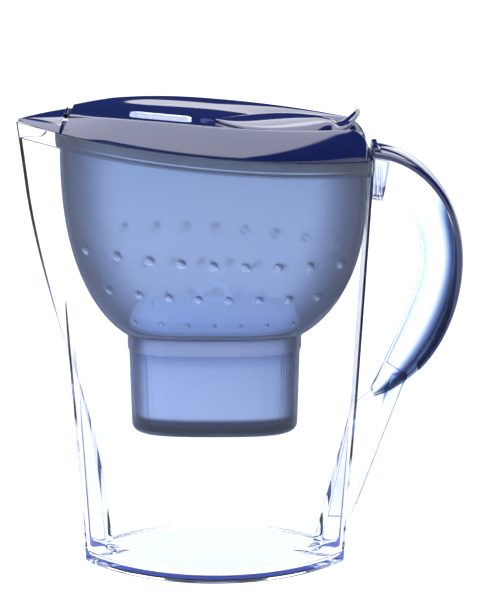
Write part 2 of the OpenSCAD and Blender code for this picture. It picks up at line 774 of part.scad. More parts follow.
function flap_chain(s, top) = [for (i = [0:flap_chain_steps])
  let(v = blend(-1, 1, i / flap_chain_steps))
  let(bulge = s[4] * (1 - v * v))
  let(h = top ? bulge + s[5] : max(0, bulge - (s[4] > 3 ? 0.8 : 0)) + min(0, bulge))
  let(x = s[0] - h * sin(s[2]))
  let(z = s[1] + h * cos(s[2]))
  [x, v * s[3], jug_h + z - x * fall]];

module refill_flap() {
  color([0.09, 0.14, 0.4])
    difference() {
      union() {
        strip([for (s = flap_stations) [flap_chain(s, false), flap_chain(s, true)]]);
        along_y(hinge_pos, knuckle_r, -lug_in + 0.3, lug_in - 0.3);
      }
      along_y(hinge_pos, pin_r + pin_gap, -bore_half, bore_half);
    }
}

module refill_pin() {
  color("silver")
    along_y(hinge_pos, pin_r, -lug_in - lug_t, lug_in + lug_t);
}

// The pointed flap over the beak
spout_gap = 1.5;
flap_rake = 0.35;
spout_reach = rim_l / 2 + beak_reach - 2.5;
spout_wall = 1.4;
function spout_half(x) = let(t = unit((-x - split_x) / (spout_reach - split_x)))
  (lens_y(split_x, rim_l / 2, rim_end_w / 2, rim_w / 2) - 0.4) * (1 - pow(t, 1.25));
function spout_top(x) = let(t = unit((-x - split_x) / (spout_reach - split_x)))
  blend(9.3, 1.8, pow(t, 1.15));
function spout_chain(x, top) =
  let(w = max(0.7, spout_half(x)))
  let(less = top ? 0 : spout_wall)
  let(h = spout_top(x) - less)
  [for (v = [-1, -0.98, -0.9, -0.75, -0.5, -0.25, 0, 0.25, 0.5, 0.75, 0.9, 0.98, 1])
    let(z = lid_seat + (h - lid_seat) * pow(1 - pow(abs(v), 2.2), 0.75))
    let(px = x + flap_rake * (z - lid_seat) * unit(1 + (x + split_x) / 20))
    [px, v * max(0.35, w - less), jug_h + z - px * fall]];
spout_xs = [for (t = [0, 0.12, 0.26, 0.4, 0.54, 0.68, 0.8, 0.9, 0.96, 1])
  blend(-split_x - 2 - spout_gap, -spout_reach, t)];

module spout_flap() {
  color([0.09, 0.14, 0.4])
    difference() {
      union() {
        strip([for (i = [len(spout_xs) - 1:-1:0])
          [spout_chain(spout_xs[i], false), spout_chain(spout_xs[i], true)]]);
        along_y(spout_pos, spout_knuckle_r, -spout_lug_in + 0.3, spout_lug_in - 0.3);
      }
      along_y(spout_pos, spout_pin_r + pin_gap, -spout_bore_half, spout_bore_half);
      for (side = [-1, 1]) {
        a = side > 0 ? spout_lug_in : -spout_lug_in - spout_lug_t;
        along_y(spout_pos, spout_knuckle_r + 0.8, a - 0.3, a + spout_lug_t + 0.3);
      }
    }
}

module spout_pin() {
  color("silver")
    along_y(spout_pos, spout_pin_r, -spout_lug_in - spout_lug_t, spout_lug_in + spout_lug_t);
}

// --- Change indicator, all measured down from the deck's top ---

case_l = 57;
case_w = 23;
case_mid = -(window_x + button_x) / 2 - 9;
case_h = 5.6;
case_t = 0.8;
bezel_t = 0.7;
display_t = 0.9;
board_t = 0.8;
battery_r = 8;
battery_t = 2;
gap = 0.05;
button_gap = 0.3;
button_flange = 0.6;
bezel_z = -lid_wall - gap - bezel_t;
display_z = bezel_z - gap - display_t;
board_z = display_z - gap - board_t;
battery_z = board_z - gap - battery_t;

module indicator_case() {
  color([0.15, 0.2, 0.45])
    on_deck(case_mid)
      translate([0, 0, -lid_wall - gap - case_h])
        difference() {
          linear_extrude(case_h)
            rounded_slot(case_l, case_w, 4);
          translate([0, 0, case_t])
            linear_extrude(case_h)
              rounded_slot(case_l - 2.4, case_w - 2.4, 3);
        }
}

module indicator_bezel() {
  color("white")
    on_deck(-window_x)
      translate([0, 0, bezel_z])
        linear_extrude(bezel_t)
          difference() {
            rounded_slot(window_l + 3, window_w + 2, 3);
            rounded_slot(window_l - 4, window_w - 5, 2);
          }
}

module indicator_lens() {
  color([0.95, 0.97, 1, 0.6])
    on_deck(-window_x)
      translate([0, 0, -lid_wall])
        linear_extrude(lid_wall)
          rounded_slot(window_l - 0.3, window_w - 0.3, 3.85);
}

module indicator_display() {
  color([0.85, 0.88, 0.84])
    on_deck(-window_x)
      translate([0, 0, display_z])
        linear_extrude(display_t)
          square([window_l, window_w - 1], center = true);
}

module indicator_board() {
  color([0.1, 0.4, 0.2])
    on_deck(case_mid)
      translate([0, 0, board_z])
        linear_extrude(board_t)
          rounded_slot(case_l - 3, case_w - 3, 2.5);
}

module indicator_battery() {
  color("silver")
    on_deck(-window_x)
      translate([0, 0, battery_z])
        cylinder(r = battery_r, h = battery_t);
}

module indicator_button() {
  color([0.09, 0.14, 0.4])
    on_deck(-button_x) {
      translate([0, 0, -lid_wall - button_gap - button_flange])
        cylinder(r = button_r + 0.8, h = button_flange);
      translate([0, 0, -lid_wall - button_gap - 0.1])
        cylinder(r = button_r, h = lid_wall + button_gap + 0.7);
    }
}

jug_body();
handle_grip();
handle_trim();
funnel();
cartridge_case();
cartridge_cap();
cartridge_ring();
cartridge_seal();
upper_sieve();
lower_sieve();
filter_granules();
lid_shell();
lid_liner();
refill_flap();
refill_pin();
spout_flap();
spout_pin();
indicator_case();
indicator_bezel();
indicator_lens();
indicator_display();
indicator_board();
indicator_battery();
indicator_button();
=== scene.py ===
import bpy
import math
import numpy as np
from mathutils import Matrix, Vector


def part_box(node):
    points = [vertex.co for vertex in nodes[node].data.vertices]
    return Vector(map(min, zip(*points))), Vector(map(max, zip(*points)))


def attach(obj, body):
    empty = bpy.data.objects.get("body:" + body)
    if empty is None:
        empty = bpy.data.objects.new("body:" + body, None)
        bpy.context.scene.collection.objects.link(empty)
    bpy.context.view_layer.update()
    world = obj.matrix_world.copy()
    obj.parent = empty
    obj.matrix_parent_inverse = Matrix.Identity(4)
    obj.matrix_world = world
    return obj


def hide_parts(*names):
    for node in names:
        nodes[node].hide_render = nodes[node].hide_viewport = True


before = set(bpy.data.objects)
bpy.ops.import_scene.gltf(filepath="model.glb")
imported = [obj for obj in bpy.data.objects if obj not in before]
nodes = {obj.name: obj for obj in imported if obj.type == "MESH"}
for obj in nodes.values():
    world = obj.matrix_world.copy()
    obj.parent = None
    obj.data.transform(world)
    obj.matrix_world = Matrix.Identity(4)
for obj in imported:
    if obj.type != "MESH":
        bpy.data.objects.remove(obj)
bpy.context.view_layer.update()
mm = 0.001
sharpAngle = 35  # edges sharper than this keep a crease
print("frame loaded:", len(nodes), "nodes")


# small helpers

def blend(a, b, t):
    return a + (b - a) * t


def unit(t):
    return min(1.0, max(0.0, t))


def ease(t):
    u = unit(t)
    return u * u * (3 - 2 * u)


def highOf(node):
    return [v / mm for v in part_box(node)[1]]


def turns(sides):
    # angles round a circle
    return np.linspace(0, 2 * math.pi, sides + 1)[:-1]


def outwards(points, faces):
    # turns the faces round where they enclose a negative volume
    spots = np.array(points, float)
    volume = 0.0
    for face in faces:
        corners = spots[list(face)]
        volume += float(np.cross(corners[1:-1], corners[2:]).dot(corners[0]).sum())
    return points, faces if volume > 0 else [tuple(reversed(face)) for face in faces]


def meshObject(name, points, faces):
    mesh = bpy.data.meshes.new(name)
    mesh.from_pydata([[c * mm for c in p] for p in points], [], faces)
    mesh.update()
    mesh.shade_smooth()
    mesh.set_sharp_from_angle(angle=math.radians(sharpAngle))
    piece = bpy.data.objects.new(name, mesh)
    bpy.context.scene.collection.objects.link(piece)
    return piece


def lofted(rings, joined=False):
    # rings of equal length, counterclockwise from above, from the outside inwards
    count = len(rings[0])
    turns = len(rings) if joined else len(rings) - 1
    points = [p for ring in rings for p in ring]
    faces = []
    for k in range(turns):
        here, there = k * count, ((k + 1) % len(rings)) * count
        for i in range(count):
            j = (i + 1) % count
            faces.append((here + i, here + j, there + j, there + i))
    if not joined:
        faces.append(tuple(range(count - 1, -1, -1)))
        faces.append(tuple((len(rings) - 1) * count + i for i in range(count)))
    return outwards(points, faces)


def stripped(stations):
    # each station is a lower chain and an upper chain of points
    count = len(stations[0][0])
    rings = [list(low) + list(high)[::-1] for low, high in stations]
    points = [p for ring in rings for p in ring]
    faces = []
    for k in range(len(rings) - 1):
        here, there = k * 2 * count, (k + 1) * 2 * count
        for i in range(2 * count):
            j = (i + 1) % (2 * count)
            faces.append((here + i, here + j, there + j, there + i))
    last = (len(rings) - 1) * 2 * count
    for i in range(count - 1):
        a, b, c, d = i, i + 1, 2 * count - 2 - i, 2 * count - 1 - i
        faces.append((d, c, b, a))
        faces.append((last + a, last + b, last + c, last + d))
    return outwards(points, faces)


def joinParts(parts):
    points, faces = [], []
    for morePoints, moreFaces in parts:
        start = len(points)
        points += list(morePoints)
        faces += [tuple(start + i for i in face) for face in moreFaces]
    return points, faces


def settled(piece):
    # the modifiers' result becomes the piece's own plain mesh
    bpy.context.view_layer.update()
    made = piece.evaluated_get(bpy.context.evaluated_depsgraph_get())
    mesh = bpy.data.meshes.new_from_object(made)
    piece.modifiers.clear()
    piece.data = mesh
    mesh.shade_smooth()
    mesh.set_sharp_from_angle(angle=math.radians(sharpAngle))
    return piece


def cut(piece, parts, operation="DIFFERENCE"):
    # carves or adds each part in turn with an exact boolean
    for points, faces in parts:
        tool = meshObject("tool", points, faces)
        boolean = piece.modifiers.new("cut", "BOOLEAN")
        boolean.operation, boolean.object, boolean.solver = operation, tool, "EXACT"
        settled(piece)
        bpy.data.objects.remove(tool)
    return piece


def pointValues(piece, name, values):
    piece.data.attributes.new(name, "FLOAT", "POINT").data.foreach_set("value", values)


def dress(piece, material, body, replaced=None):
    piece.data.materials.clear()
    piece.data.materials.append(material)
    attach(piece, body)
    if replaced:
        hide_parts(replaced)
    return piece


# materials

def newMaterial(name):
    material = bpy.data.materials.new(name)
    material.use_nodes = True
    tree = material.node_tree
    tree.nodes.clear()
    output = tree.nodes.new("ShaderNodeOutputMaterial")
    shader = tree.nodes.new("ShaderNodeBsdfPrincipled")
    tree.links.new(shader.outputs["BSDF"], output.inputs["Surface"])
    return material, tree, shader, output


def setAll(node, values):
    for name, value in values.items():
        node.inputs[name].default_value = value


def objectNoise(tree, scale, detail=3, roughness=0.5):
    place = tree.nodes.new("ShaderNodeTexCoord")
    noise = tree.nodes.new("ShaderNodeTexNoise")
    setAll(noise, {"Scale": scale, "Detail": detail, "Roughness": roughness})
    tree.links.new(place.outputs["Object"], noise.inputs["Vector"])
    return noise


def ramp(tree, source, low, high, fromMin=0.3, fromMax=0.7):
    spread = tree.nodes.new("ShaderNodeMapRange")
    setAll(spread, {"From Min": fromMin, "From Max": fromMax, "To Min": low, "To Max": high})
    tree.links.new(source, spread.inputs["Value"])
    return spread.outputs["Result"]


def addBump(tree, shader, source, strength, distance):
    bump = tree.nodes.new("ShaderNodeBump")
    setAll(bump, {"Strength": strength, "Distance": distance})
    tree.links.new(source, bump.inputs["Height"])
    tree.links.new(bump.outputs["Normal"], shader.inputs["Normal"])


def colorStops(rampNode, stops):
    elements = rampNode.color_ramp.elements
    elements[0].position, elements[1].position = stops[0][0], stops[-1][0]
    elements[0].color, elements[1].color = stops[0][1], stops[-1][1]
    for position, color in stops[1:-1]:
        elements.new(position).color = color


def mixColors(tree, source, first, second):
    mix = tree.nodes.new("ShaderNodeMix")
    mix.data_type = "RGBA"
    mix.inputs["A"].default_value = first
    mix.inputs["B"].default_value = second
    tree.links.new(source, mix.inputs["Factor"])
    return mix.outputs["Result"]


def guidedLight(tree, surface, color, longest):
    # painted glow: an emission stands in for light that stays in the wall for many turns
    path, past = tree.nodes.new("ShaderNodeLightPath"), tree.nodes.new("ShaderNodeMath")
    past.operation = "GREATER_THAN"
    past.inputs[1].default_value = longest
    tree.links.new(path.outputs["Ray Depth"], past.inputs[0])
    glow, mix = tree.nodes.new("ShaderNodeEmission"), tree.nodes.new("ShaderNodeMixShader")
    glow.inputs["Color"].default_value = color
    tree.links.new(past.outputs["Value"], mix.inputs["Fac"])
    tree.links.new(surface, mix.inputs[1])
    tree.links.new(glow.outputs["Emission"], mix.inputs[2])
    return mix.outputs["Shader"]


def letLightThrough(tree, surface, output, shadowColor):
    # shadow rays pass straight through, as caustics would light what is behind
    path = tree.nodes.new("ShaderNodeLightPath")
    clear = tree.nodes.new("ShaderNodeBsdfTransparent")
    clear.inputs["Color"].default_value = shadowColor
    mix = tree.nodes.new("ShaderNodeMixShader")
    tree.links.new(path.outputs["Is Shadow Ray"], mix.inputs["Fac"])
    tree.links.new(surface, mix.inputs[1])
    tree.links.new(clear.outputs["BSDF"], mix.inputs[2])
    tree.links.new(mix.outputs["Shader"], output.inputs["Surface"])


clearLook = {
    "ior": 1.49,
    "glare": (0.3, 0.3, 0.3, 1),
    "tint": (0.985, 0.993, 1.0, 1),
    "deepTint": (0.2, 0.36, 0.86, 1),
    "depth": 16.0,
    "shadow": (0.97, 0.98, 0.99, 1),
    "waviness": 0.05,
    # painted edge colour: a blue glow where the wall is seen edge on
    "edge": (0.1, 0.16, 0.5, 1),
    "paintedEdgeFrom": 0.72,
    "paintedEdgeShare": 0.5,
    "guided": (0.06, 0.12, 0.4, 1),
    "guidedFrom": 9.5,
}


def paintedEdgeShading(tree, surface, color, start, share):
    # painted edge shading: a diffuse colour mixed in where the wall is seen edge on, a painted blue glow standing
    # in for light carried along a clear wall, and painted dark edges on the hopper
    facing, skin = tree.nodes.new("ShaderNodeLayerWeight"), tree.nodes.new("ShaderNodeBsdfDiffuse")
    facing.inputs["Blend"].default_value = 0.5
    skin.inputs["Color"].default_value = color
    mix = tree.nodes.new("ShaderNodeMixShader")
    tree.links.new(ramp(tree, facing.outputs["Facing"], 0, share, start, 1), mix.inputs["Fac"])
    tree.links.new(surface, mix.inputs[1])
    tree.links.new(skin.outputs["BSDF"], mix.inputs[2])
    return mix.outputs["Shader"]


def makeClearPlastic(name, look, depth, paintedTrimView=None):
    # optional colour steps paint the trim's refraction into the plastic by the piece's own attribute: a painted
    # view of the trim seen through the back of the grip
    material, tree, shader, output = newMaterial(name)
    setAll(shader, {"Transmission Weight": 1, "IOR": look["ior"], "Base Color": look["tint"],
                    "Roughness": 0.0, "Specular Tint": look["glare"]})
    if paintedTrimView:
        share, steps = tree.nodes.new("ShaderNodeAttribute"), tree.nodes.new("ShaderNodeValToRGB")
        share.attribute_name = "nearTrim"
        colorStops(steps, paintedTrimView)
        tree.links.new(share.outputs["Fac"], steps.inputs["Fac"])
        tree.links.new(steps.outputs["Color"], shader.inputs["Base Color"])
    flow = objectNoise(tree, 18, 2)
    addBump(tree, shader, flow.outputs["Fac"], look["waviness"], 0.002)
    surface = paintedEdgeShading(tree, shader.outputs["BSDF"], look["edge"], look["paintedEdgeFrom"], look["paintedEdgeShare"])
    surface = guidedLight(tree, surface, look["guided"], look["guidedFrom"])
    letLightThrough(tree, surface, output, look["shadow"])
    deep = tree.nodes.new("ShaderNodeVolumeAbsorption")
    setAll(deep, {"Color": look["deepTint"], "Density": depth})
    tree.links.new(deep.outputs["Volume"], output.inputs["Volume"])
    return material


hopperLook = {
    "depth": 350.0,
    "glare": (0.35, 0.35, 0.35, 1),
    "deepTint": (0.36, 0.5, 0.72, 1),
    "satin": (0.09, 0.12),
    "body": (0.55, 0.63, 0.78, 1),
    # a larger diffuse share gives the painted highlight on the bright side of a dent
    "bodyShare": (0.6, 0.14),  # in the bright side of a dent, elsewhere
    "shade": (0.1, 0.14, 0.24, 1),
    "shadow": (0.95, 0.96, 0.98, 1),
    # painted dark edges where the wall is seen edge on
    "edge": (0.03, 0.045, 0.1, 1),
    "paintedEdgeFrom": 0.3,
    "paintedEdgeShare": 0.95,
    # painted shade and light by height in metres: chamber floor, chamber, collar, bowl
    "zones": (
        (0.0795, (0.07, 0.1, 0.16, 1)), (0.0875, (0.12, 0.16, 0.24, 1)),
        (0.0895, (0.97, 0.98, 0.99, 1)), (0.118, (0.88, 0.92, 0.97, 1)),
        (0.1245, (0.6, 0.68, 0.82, 1)), (0.1265, (1, 1, 1, 1)),
        (0.1335, (1, 1, 1, 1)), (0.1355, (0.66, 0.74, 0.87, 1)),
        (0.15, (0.81, 0.86, 0.91, 1)), (0.19, (0.8, 0.85, 0.9, 1)), (0.23, (0.68, 0.75, 0.83, 1)),
    ),
}


def makeHopperPlastic(look):
    material, tree, shader, output = newMaterial("hopperPlastic")
    setAll(shader, {"Transmission Weight": 1, "IOR": 1.5, "Specular Tint": look["glare"]})
    place, split = tree.nodes.new("ShaderNodeTexCoord"), tree.nodes.new("ShaderNodeSeparateXYZ")
    tree.links.new(place.outputs["Object"], split.inputs["Vector"])
    zones = tree.nodes.new("ShaderNodeValToRGB")
    lowest, highest = look["zones"][0][0], look["zones"][-1][0]
    colorStops(zones, [((height - lowest) / (highest - lowest), color) for height, color in look["zones"]])
    tree.links.new(ramp(tree, split.outputs["Z"], 0, 1, lowest, highest), zones.inputs["Fac"])
    shade = tree.nodes.new("ShaderNodeAttribute")
    # the shade attribute carries painted shade above 0 and a painted highlight below 0
    shade.attribute_name = "shade"  # above 0 darker, below 0 lighter
    paint, skin = tree.nodes.new("ShaderNodeMix"), tree.nodes.new("ShaderNodeMix")
    paint.data_type = skin.data_type = "RGBA"
    paint.blend_type = skin.blend_type = "MULTIPLY"
    skin.inputs["Factor"].default_value = 1
    tree.links.new(ramp(tree, shade.outputs["Fac"], 0, 1, 0, 1), paint.inputs["Factor"])
    tree.links.new(zones.outputs["Color"], paint.inputs["A"])
    paint.inputs["B"].default_value, skin.inputs["B"].default_value = look["shade"], look["body"]
    tree.links.new(paint.outputs["Result"], skin.inputs["A"])
    tree.links.new(paint.outputs["Result"], shader.inputs["Base Color"])
    haze = objectNoise(tree, 30, 2)
    tree.links.new(ramp(tree, haze.outputs["Fac"], *look["satin"]), shader.inputs["Roughness"])
    flow = objectNoise(tree, 22, 2)
    addBump(tree, shader, flow.outputs["Fac"], 0.08, 0.003)
    diffuse, glow = tree.nodes.new("ShaderNodeBsdfDiffuse"), tree.nodes.new("ShaderNodeBsdfTranslucent")
    tree.links.new(skin.outputs["Result"], diffuse.inputs["Color"])
    tree.links.new(skin.outputs["Result"], glow.inputs["Color"])
    scatter, blendIn = tree.nodes.new("ShaderNodeMixShader"), tree.nodes.new("ShaderNodeMixShader")
    tree.links.new(diffuse.outputs["BSDF"], scatter.inputs[1])
    tree.links.new(glow.outputs["BSDF"], scatter.inputs[2])
    tree.links.new(ramp(tree, shade.outputs["Fac"], *look["bodyShare"], -1, 0), blendIn.inputs["Fac"])
    tree.links.new(shader.outputs["BSDF"], blendIn.inputs[1])
    tree.links.new(scatter.outputs["Shader"], blendIn.inputs[2])
    surface = paintedEdgeShading(tree, blendIn.outputs["Shader"], look["edge"], look["paintedEdgeFrom"], look["paintedEdgeShare"])
    letLightThrough(tree, surface, output, look["shadow"])
    deep = tree.nodes.new("ShaderNodeVolumeAbsorption")
    setAll(deep, {"Color": look["deepTint"], "Density": look["depth"]})
    tree.links.new(deep.outputs["Volume"], output.inputs["Volume"])
    return material


def makePlastic(name, color, darker, roughness, grain=0.0, coat=0.0, toneScale=14):
    # opaque moulded plastic: faint tone changes, uneven polish and a fine moulded grain
    material, tree, shader, _ = newMaterial(name)
    tone = objectNoise(tree, toneScale, 4)
    tree.links.new(
        mixColors(tree, ramp(tree, tone.outputs["Fac"], 0, 1), color, darker), shader.inputs["Base Color"])
    tree.links.new(
        ramp(tree, tone.outputs["Fac"], roughness * 0.85, roughness * 1.2), shader.inputs["Roughness"])
    setAll(shader, {"Coat Weight": coat, "Coat Roughness": 0.03})
    if grain:
        fine = objectNoise(tree, 1400, 2)
        addBump(tree, shader, fine.outputs["Fac"], grain, 0.0002)
    return material


def makeMilkyPlastic(name, color, clarity):
    # thin white moulding that lets some light in
    material, tree, shader, output = newMaterial(name)
    cloud = objectNoise(tree, 40, 3)
    darker = tuple(c * 0.94 for c in color[:3]) + (1,)
    tree.links.new(
        mixColors(tree, ramp(tree, cloud.outputs["Fac"], 0, 1), color, darker), shader.inputs["Base Color"])
    tree.links.new(ramp(tree, cloud.outputs["Fac"], 0.3, 0.4), shader.inputs["Roughness"])
    setAll(shader, {"Transmission Weight": clarity, "IOR": 1.25})
    letLightThrough(tree, shader.outputs["BSDF"], output, (0.8, 0.82, 0.86, 1))
    return material


def makeSteel(name, color):
    material, tree, shader, _ = newMaterial(name)
    setAll(shader, {"Metallic": 1, "Base Color": color})
    lines = objectNoise(tree, 300, 4)
    tree.links.new(ramp(tree, lines.outputs["Fac"], 0.22, 0.4), shader.inputs["Roughness"])
    return material


def makeGranules():
    material, tree, shader, _ = newMaterial("filterGranules")
    place = tree.nodes.new("ShaderNodeTexCoord")
    grains = tree.nodes.new("ShaderNodeTexVoronoi")
    grains.inputs["Scale"].default_value = 1100
    tree.links.new(place.outputs["Object"], grains.inputs["Vector"])
    tree.links.new(
        mixColors(tree, ramp(tree, grains.outputs["Distance"], 0, 1, 0.1, 0.6),
                  (0.03, 0.03, 0.032, 1), (0.2, 0.17, 0.1, 1)),
        shader.inputs["Base Color"])
    addBump(tree, shader, grains.outputs["Distance"], 0.8, 0.0006)
    shader.inputs["Roughness"].default_value = 0.8
    return material


clearPlastic = makeClearPlastic("clearPlastic", clearLook, clearLook["depth"])
# painted refraction of the trim, from the finger side of the grip to the trim at its back
gripPaintedTrimView = ((0.0, (0.75, 0.87, 0.95, 1)), (0.14, (0.9, 0.96, 0.99, 1)), (0.3, (0.985, 0.993, 1, 1)),
             (0.5, (0.985, 0.993, 1, 1)), (0.62, (0.66, 0.77, 0.92, 1)), (0.74, (0.16, 0.24, 0.44, 1)),
             (0.86, (0.012, 0.02, 0.06, 1)), (0.93, (0.2, 0.28, 0.5, 1)), (0.975, (0.98, 0.99, 1, 1)))
clearGripPlastic = makeClearPlastic("clearGripPlastic", clearLook, clearLook["depth"] * 1.2, gripPaintedTrimView)
hopperPlastic = makeHopperPlastic(hopperLook)
navyGloss = makePlastic("navyGloss", (0.004, 0.0075, 0.044, 1), (0.0034, 0.0064, 0.038, 1), 0.06, 0.03, 0.5)
trimGloss = makePlastic("trimGloss", (0.004, 0.0075, 0.044, 1), (0.0034, 0.0064, 0.038, 1), 0.08, 0.03, 0.5)
navySatin = makePlastic("navySatin", (0.006, 0.01, 0.06, 1), (0.005, 0.008, 0.05, 1), 0.35, 0.2)
whiteSatin = makePlastic("whiteSatin", (0.78, 0.8, 0.84, 1), (0.72, 0.74, 0.79, 1), 0.4, 0.15)
milkyWhite = makeMilkyPlastic("milkyWhite", (0.95, 0.965, 1, 1), 0.65)
whiteGloss = makePlastic("whiteGloss", (0.75, 0.76, 0.82, 1), (0.7, 0.71, 0.78, 1), 0.2, 0.05)
meshWhite = makePlastic("meshWhite", (0.7, 0.71, 0.73, 1), (0.6, 0.61, 0.64, 1), 0.5, 0.3)
caseNavy = makePlastic("caseNavy", (0.01, 0.016, 0.06, 1), (0.008, 0.012, 0.05, 1), 0.5, 0.3)
sealRubber = makePlastic("sealRubber", (0.03, 0.032, 0.036, 1), (0.02, 0.021, 0.024, 1), 0.7, 0.5)
displayGlass = makePlastic(
    "displayGlass", (0.62, 0.6, 0.54, 1), (0.34, 0.33, 0.31, 1), 0.3, 0.5, toneScale=900)
boardGreen = makePlastic("boardGreen", (0.02, 0.14, 0.06, 1), (0.015, 0.1, 0.045, 1), 0.3, 0.2)
buttonBlue = makePlastic("buttonBlue", (0.02, 0.03, 0.13, 1), (0.017, 0.026, 0.11, 1), 0.25, 0.1)
pinSteel = makeSteel("pinSteel", (0.66, 0.67, 0.7, 1))
cellSteel = makeSteel("cellSteel", (0.7, 0.7, 0.72, 1))
granuleLook = makeGranules()
print("materials made")


# jug

jug = {
    "footLength": 148, "rimLength": 174, "footWidth": 94, "rimWidth": 104,
    "footEnd": 22, "rimEnd": 36, "beakReach": 22, "frontNotch": 14, "rearNotch": 17,
    "notchTop": 97, "rimFall": 5.3, "parallelDepth": 30,
    "wall": 2.4, "lipWall": 1.3, "ledgeDepth": 8.6, "floor": 4.0,
    "footRecess": 1.2, "cornerRound": 2.8, "beakRound": 2.6, "inRound": 4, "weldGap": 0.05,
}
fall = math.tan(math.radians(jug["rimFall"]))
beakX = jug["rimLength"] / 2 + jug["beakReach"]
rimHeight = highOf("jug_body")[2] - beakX * fall
ringDetail = {"side": 60, "corner": 7, "flat": 4}


def cornerCurve(before, corner, after, radius, count):
    toBefore, toAfter = before - corner, after - corner
    lengthBefore, lengthAfter = np.linalg.norm(toBefore), np.linalg.norm(toAfter)
    toBefore, toAfter = toBefore / lengthBefore, toAfter / lengthAfter
    turn = math.pi - math.acos(max(-1, min(1, float(toBefore @ toAfter))))
    reach = max(0.5, radius * math.tan(min(turn, 2.6) / 2))
    start = corner + toBefore * min(reach, 0.45 * lengthBefore)
    end = corner + toAfter * min(reach, 0.45 * lengthAfter)
    return [(1 - t) ** 2 * start + 2 * t * (1 - t) * corner + t * t * end for t in np.linspace(0, 1, count)]


def lensRing(halfLength, endHalf, midHalf, front, rear, inset=0.0, cornerRound=2.8, tipRound=2.6):
    # two arcs with a point or a flat at each end; inset moves every side inwards
    bow = midHalf - endHalf
    radius = (halfLength ** 2 + bow ** 2) / (2 * bow)
    centre = np.array([0.0, radius - midHalf])
    inner = radius - inset

    def endOf(tipX, side):
        tip = np.array([tipX, 0.0])
        corner = np.array([side * halfLength, -endHalf])
        along = (corner - tip) / np.linalg.norm(corner - tip)
        outward = np.array([along[1], -along[0]]) * -side
        start = tip - outward * inset
        newTip = start - along * start[1] / along[1]
        away = start - centre
        half = away @ along
        root = math.sqrt(half ** 2 - away @ away + inner ** 2)
        reach = min((-half + root, -half - root), key=lambda s: abs(s - np.linalg.norm(corner - tip)))
        return newTip, start + along * reach

    tips = [endOf(-front, -1), endOf(rear, 1)]
    flip = np.array([1, -1])
    turning = [max(cornerRound - inset, 0.7), max(tipRound - inset, 0.7)]
    half = []
    count = ringDetail["corner"]
    frontTip, frontCorner = tips[0]
    rearTip, rearCorner = tips[1]
    angles = [math.asin(c[0] / inner) for c in (frontCorner, rearCorner)]
    tangents = [np.array([math.cos(a), math.sin(a)]) * 10 for a in angles]
    nose = cornerCurve(frontCorner * flip, frontTip, frontCorner, turning[1], 2 * count - 1)[count - 1:]
    first = cornerCurve(frontTip, frontCorner, frontCorner + tangents[0], turning[0], count)
    second = cornerCurve(rearCorner - tangents[1], rearCorner, rearTip, turning[0], count)
    tail = cornerCurve(rearCorner, rearTip, rearCorner * flip, turning[1], 2 * count - 1)[:count]
    nose[0][1] = tail[-1][1] = 0.0
    steps = np.linspace(0, 1, ringDetail["flat"] + 2)[1:-1]
    half += nose
    half += [blend(nose[-1], first[0], t) for t in steps]
    half += first
    fromAngle = math.asin(first[-1][0] / inner)
    toAngle = math.asin(second[0][0] / inner)
    for t in np.linspace(0, 1, ringDetail["side"] + 1)[1:-1]:
        a = blend(fromAngle, toAngle, t)
        half.append(centre + inner * np.array([math.sin(a), -math.cos(a)]))
    half += second
    half += [blend(second[-1], tail[0], t) for t in steps]
    half += tail
    return half + [p * flip for p in half[-2:0:-1]]


def endX(z):
    return blend(jug["footLength"], jug["rimLength"], z / rimHeight) / 2


def endHalfAt(z):
    return blend(jug["footEnd"], jug["rimEnd"], z / rimHeight) / 2


def midHalfAt(z):
    return blend(jug["footWidth"], jug["rimWidth"], z / rimHeight) / 2


def keelX(z):
    h = z / rimHeight
    return blend(jug["footLength"] / 2 - jug["frontNotch"], beakX, 0.6 * h + 0.4 * ease((h - 0.19) / 0.67))


def rearX(z):
    if z >= jug["notchTop"]:
        return endX(z)
    return blend(jug["footLength"] / 2 - jug["rearNotch"], endX(jug["notchTop"]), z / jug["notchTop"])


def leaned(points, z, fromZ=0.0):
    lean = fall * unit((z - fromZ) / (rimHeight - jug["parallelDepth"] - fromZ))
    return [(p[0], p[1], z - p[0] * lean) for p in points]


def jugRing(z, inset):
    return leaned(lensRing(
        endX(z), endHalfAt(z), midHalfAt(z), keelX(z), rearX(z), inset,
        jug["cornerRound"], jug["beakRound"]), z)


def buildJug():
    wall, lip, floor = jug["wall"], jug["lipWall"], jug["floor"]
    ledge = rimHeight - jug["ledgeDepth"]
    recess, inRound = jug["footRecess"], jug["inRound"]
    levels = [(recess, 9.0), (recess, 6.0), (recess * 0.75, 5.0), (recess * 0.2, 4.3), (0, 3.8), (0, 1.8)]
    levels += [(2 - 2 * math.cos(a), 1.8 - 1.8 * math.sin(a)) for a in np.linspace(0.2, math.pi / 2, 7)]
    levels += [(z, 0) for z in np.linspace(2, jug["notchTop"], 26)[1:]]
    levels += [(z, 0) for z in np.linspace(jug["notchTop"], rimHeight - 0.6, 38)[1:]]
    levels += [(rimHeight - 0.6 + 0.6 * math.sin(a), lip / 2 - lip / 2 * math.cos(a))
               for a in np.linspace(0, math.pi, 11)[1:]]
    levels += [(ledge + 4, lip), (ledge + 0.6, lip), (ledge + 0.15, lip + 0.15), (ledge, lip + 0.5)]
    levels += [(ledge, wall - 0.4), (ledge - 0.15, wall - 0.1), (ledge - 0.5, wall)]
    levels += [(z, wall) for z in np.linspace(ledge - 0.5, jug["notchTop"], 36)[1:]]
    levels += [(z, wall) for z in np.linspace(jug["notchTop"], floor + inRound, 24)[1:]]
    levels += [(floor + inRound - inRound * math.sin(a), wall + inRound - inRound * math.cos(a))
               for a in np.linspace(0, math.pi / 2, 8)[1:]]
    levels += [(floor, wall + 8)]
    return lofted([jugRing(z, inset) for z, inset in levels])


dress(meshObject("jugShell", *buildJug()), clearPlastic, "jug", "jug_body")
print("jug made")


# handle

